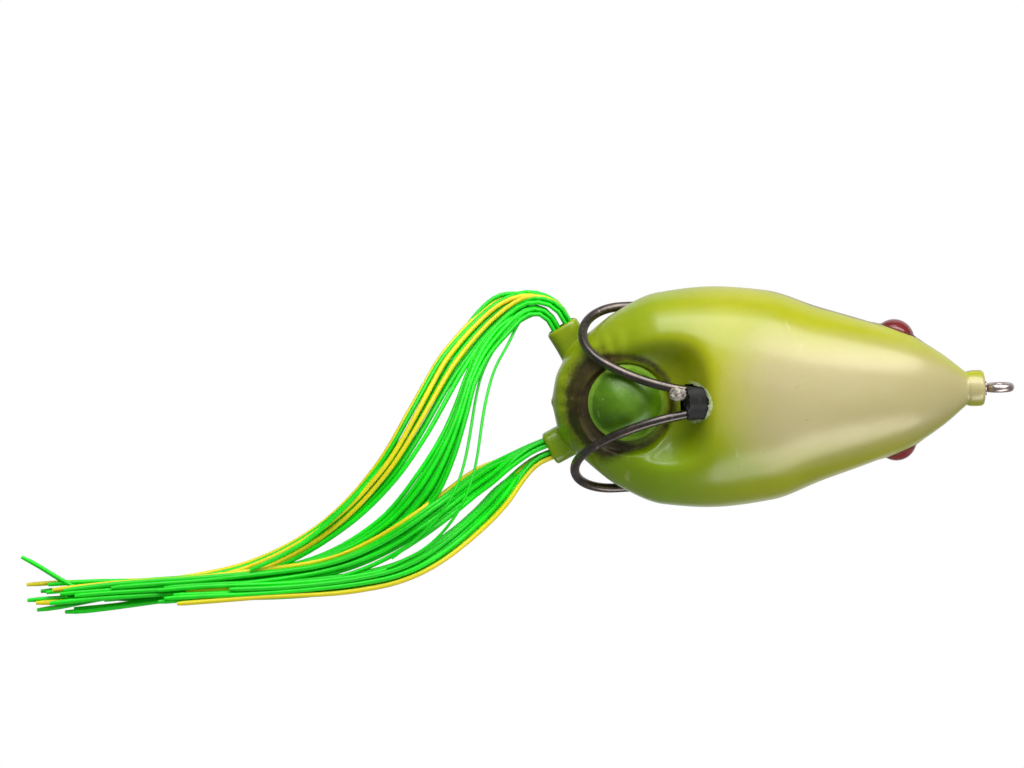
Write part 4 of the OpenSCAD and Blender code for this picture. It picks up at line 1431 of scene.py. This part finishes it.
class LURE_OT_weight(bpy.types.Operator):
    """Makes the tail weight, whose neck goes through the belly, and the washer that clamps it"""

    bl_idname = "lure.weight"
    bl_label = "Tail weight"

    def execute(self, context):
        s, c = context.scene.lure_weight_eyes, context.scene.lure_colours
        r, h = s.weight_radius / MM, s.weight_dome / MM
        ball = (r * r + h * h) / (2 * h)
        edge = math.asin((r - 0.12) / ball)
        a = np.linspace(0.01, edge, 44)
        dome = np.stack([ball * np.sin(a), (ball - h) - ball * np.cos(a)], axis=1)
        under = rounded_profile(
            [(r, dome[-1, 1] + 0.12), (r, -0.2), (3, -0.2), (3, 2.4), (4.2, 2.4), (4.2, 4), (0.01, 4)], 0.18)
        profile = np.concatenate([dome, under])
        rings = lathe(profile, 120)
        x, y, _ = np.moveaxis(rings, -1, 0)
        on_dome = (np.arange(len(profile)) < len(dome) - 3)[:, None]
        uneven = np.sin(0.9 * x + 0.5) * np.cos(0.8 * y) + 0.5 * np.sin(1.9 * x - 1.3 * y)
        rings[..., 2] += on_dome * 0.05 * uneven
        vertices, faces = closed_solid(rings)
        at = np.array([WEIGHT_X, 0, WEIGHT_RIM_Z])
        weight = new_piece("tail_weight_cast", [(vertices + at, faces)], weight_finish(c))
        p = coordinates(weight.data) / MM - at
        away = np.hypot(p[:, 0], p[:, 1])
        # Painted highlight: marks the dome's outer edge, which is painted paler.
        put_attribute(weight.data, "rim", smoothstep(r - 1.3, r - 0.1, away))
        place_piece(weight, "weight", "weight_paint", "tail_weight")
        ring = rounded_profile([(3.05, 0.3), (3.05, 0), (4.2, 0), (4.2, 0.6), (3.05, 0.6), (3.05, 0.3)], 0.12)
        vertices, faces = closed_solid(lathe(ring[:-1], 72), closed=True)
        washer = new_piece("weight_washer", [(vertices + at + np.array([0, 0, 1.75]), faces)],
            brass_finish(c))
        place_piece(washer, "weight", "ring_brass", "weight_ring")
        return {"FINISHED"}


class LURE_OT_eyes(bpy.types.Operator):
    """Makes both eyes: moulded rim, foil with its pupil, and the clear red dome"""

    bl_idname = "lure.eyes"
    bl_label = "Eyes"

    def execute(self, context):
        s, c = context.scene.lure_weight_eyes, context.scene.lure_colours
        r, h = s.eye_radius / MM, s.eye_dome / MM
        ball = (r * r + h * h) / (2 * h)
        a = np.linspace(math.asin(r / ball), 0.01, 26)
        dome = np.stack([ball * np.sin(a), 0.3 + h - ball + ball * np.cos(a)], axis=1)
        shapes = {
            "dome": (np.concatenate([[[0.01, 0.3]], dome]), eye_dome_finish(c)),
            "foil": (rounded_profile([(0.01, 0), (r, 0), (r, 0.28), (0.01, 0.28)], 0.06), eye_foil_finish(c)),
            "cup": (rounded_profile([(0.01, -0.9), (r + 0.3, -0.9), (r + 0.3, 0.36), (r + 0.04, 0.36),
                (r + 0.02, 0.0), (0.01, -0.02)], 0.12), eye_rim_finish(c)),
        }
        for name, side in (("left", 1), ("right", -1)):
            for part, (profile, material) in shapes.items():
                vertices, faces = closed_solid(lathe(profile, 72))
                piece = new_piece(f"frog_eye_{part}_{name}", [(at_eye(vertices, side), faces)], material)
                put_attribute(piece.data, "radius", np.hypot(vertices[:, 0], vertices[:, 1]) / r)
                slot = "eye_rim" if part == "cup" else f"eye_{part}"
                place_piece(piece, "body", slot, f"eye_{part}_{name}")
        return {"FINISHED"}


class LURE_OT_bands(bpy.types.Operator):
    """Makes the crimped bands that grip the strands inside the legs"""

    bl_idname = "lure.bands"
    bl_label = "Skirt bands"

    def execute(self, context):
        material = band_finish(context.scene.lure_colours)
        t = np.linspace(-4.6, -1.4, 40)
        ribs = 1.86 - 0.1 * np.cos(TURN * (t + 4.6) / 0.8) ** 2
        ribs[[0, -1]] -= 0.15
        profile = np.concatenate([[[0.01, t[0]]], np.stack([ribs, t], axis=1), [[0.01, t[-1]]]])
        for side in LEGS:
            vertices, faces = closed_solid(lathe(profile, 48))
            piece = new_piece(f"skirt_crimp_{side}", [(at_leg(vertices, side), faces)], material)
            place_piece(piece, "body", "band_steel", f"skirt_band_{side}")
        return {"FINISHED"}


OPERATORS = (
    LURE_OT_stage,
    LURE_OT_skirts,
    LURE_OT_body,
    LURE_OT_hook,
    LURE_OT_sleeve,
    LURE_OT_weight,
    LURE_OT_eyes,
    LURE_OT_bands,
)
SETTINGS = {
    "lure_body": LureBodySizes,
    "lure_hook": LureHookSizes,
    "lure_weight_eyes": LureWeightEyeSizes,
    "lure_skirts": LureSkirtSizes,
    "lure_colours": LureColours,
    "lure_stage": LureStageSettings,
}


class LURE_PT_panel(bpy.types.Panel):
    """Lists the lure's settings and the pieces that can be made"""

    bl_idname = "LURE_PT_panel"
    bl_label = "Hollow Frog Lure"
    bl_space_type = "VIEW_3D"
    bl_region_type = "UI"
    bl_category = "Frog Lure"

    def draw(self, context):
        for name, group in SETTINGS.items():
            box = self.layout.box()
            for key in group.__annotations__:
                box.prop(getattr(context.scene, name), key)
        for operator in OPERATORS:
            self.layout.operator(operator.bl_idname)


def register():
    """Adds the classes, and each settings group to the scene."""
    for group in (*SETTINGS.values(), *OPERATORS, LURE_PT_panel):
        bpy.utils.register_class(group)
    for name, group in SETTINGS.items():
        setattr(bpy.types.Scene, name, bpy.props.PointerProperty(type=group))


def unregister():
    """Removes what register added."""
    for name in SETTINGS:
        delattr(bpy.types.Scene, name)
    for group in reversed((*SETTINGS.values(), *OPERATORS, LURE_PT_panel)):
        bpy.utils.unregister_class(group)


def main():
    """Builds the lure piece by piece."""
    register()
    bpy.ops.lure.stage()
    bpy.ops.lure.skirts()
    bpy.ops.lure.body()
    bpy.ops.lure.hook()
    bpy.ops.lure.sleeve()
    bpy.ops.lure.weight()
    bpy.ops.lure.eyes()
    bpy.ops.lure.bands()


if __name__ == "__main__":
    main()
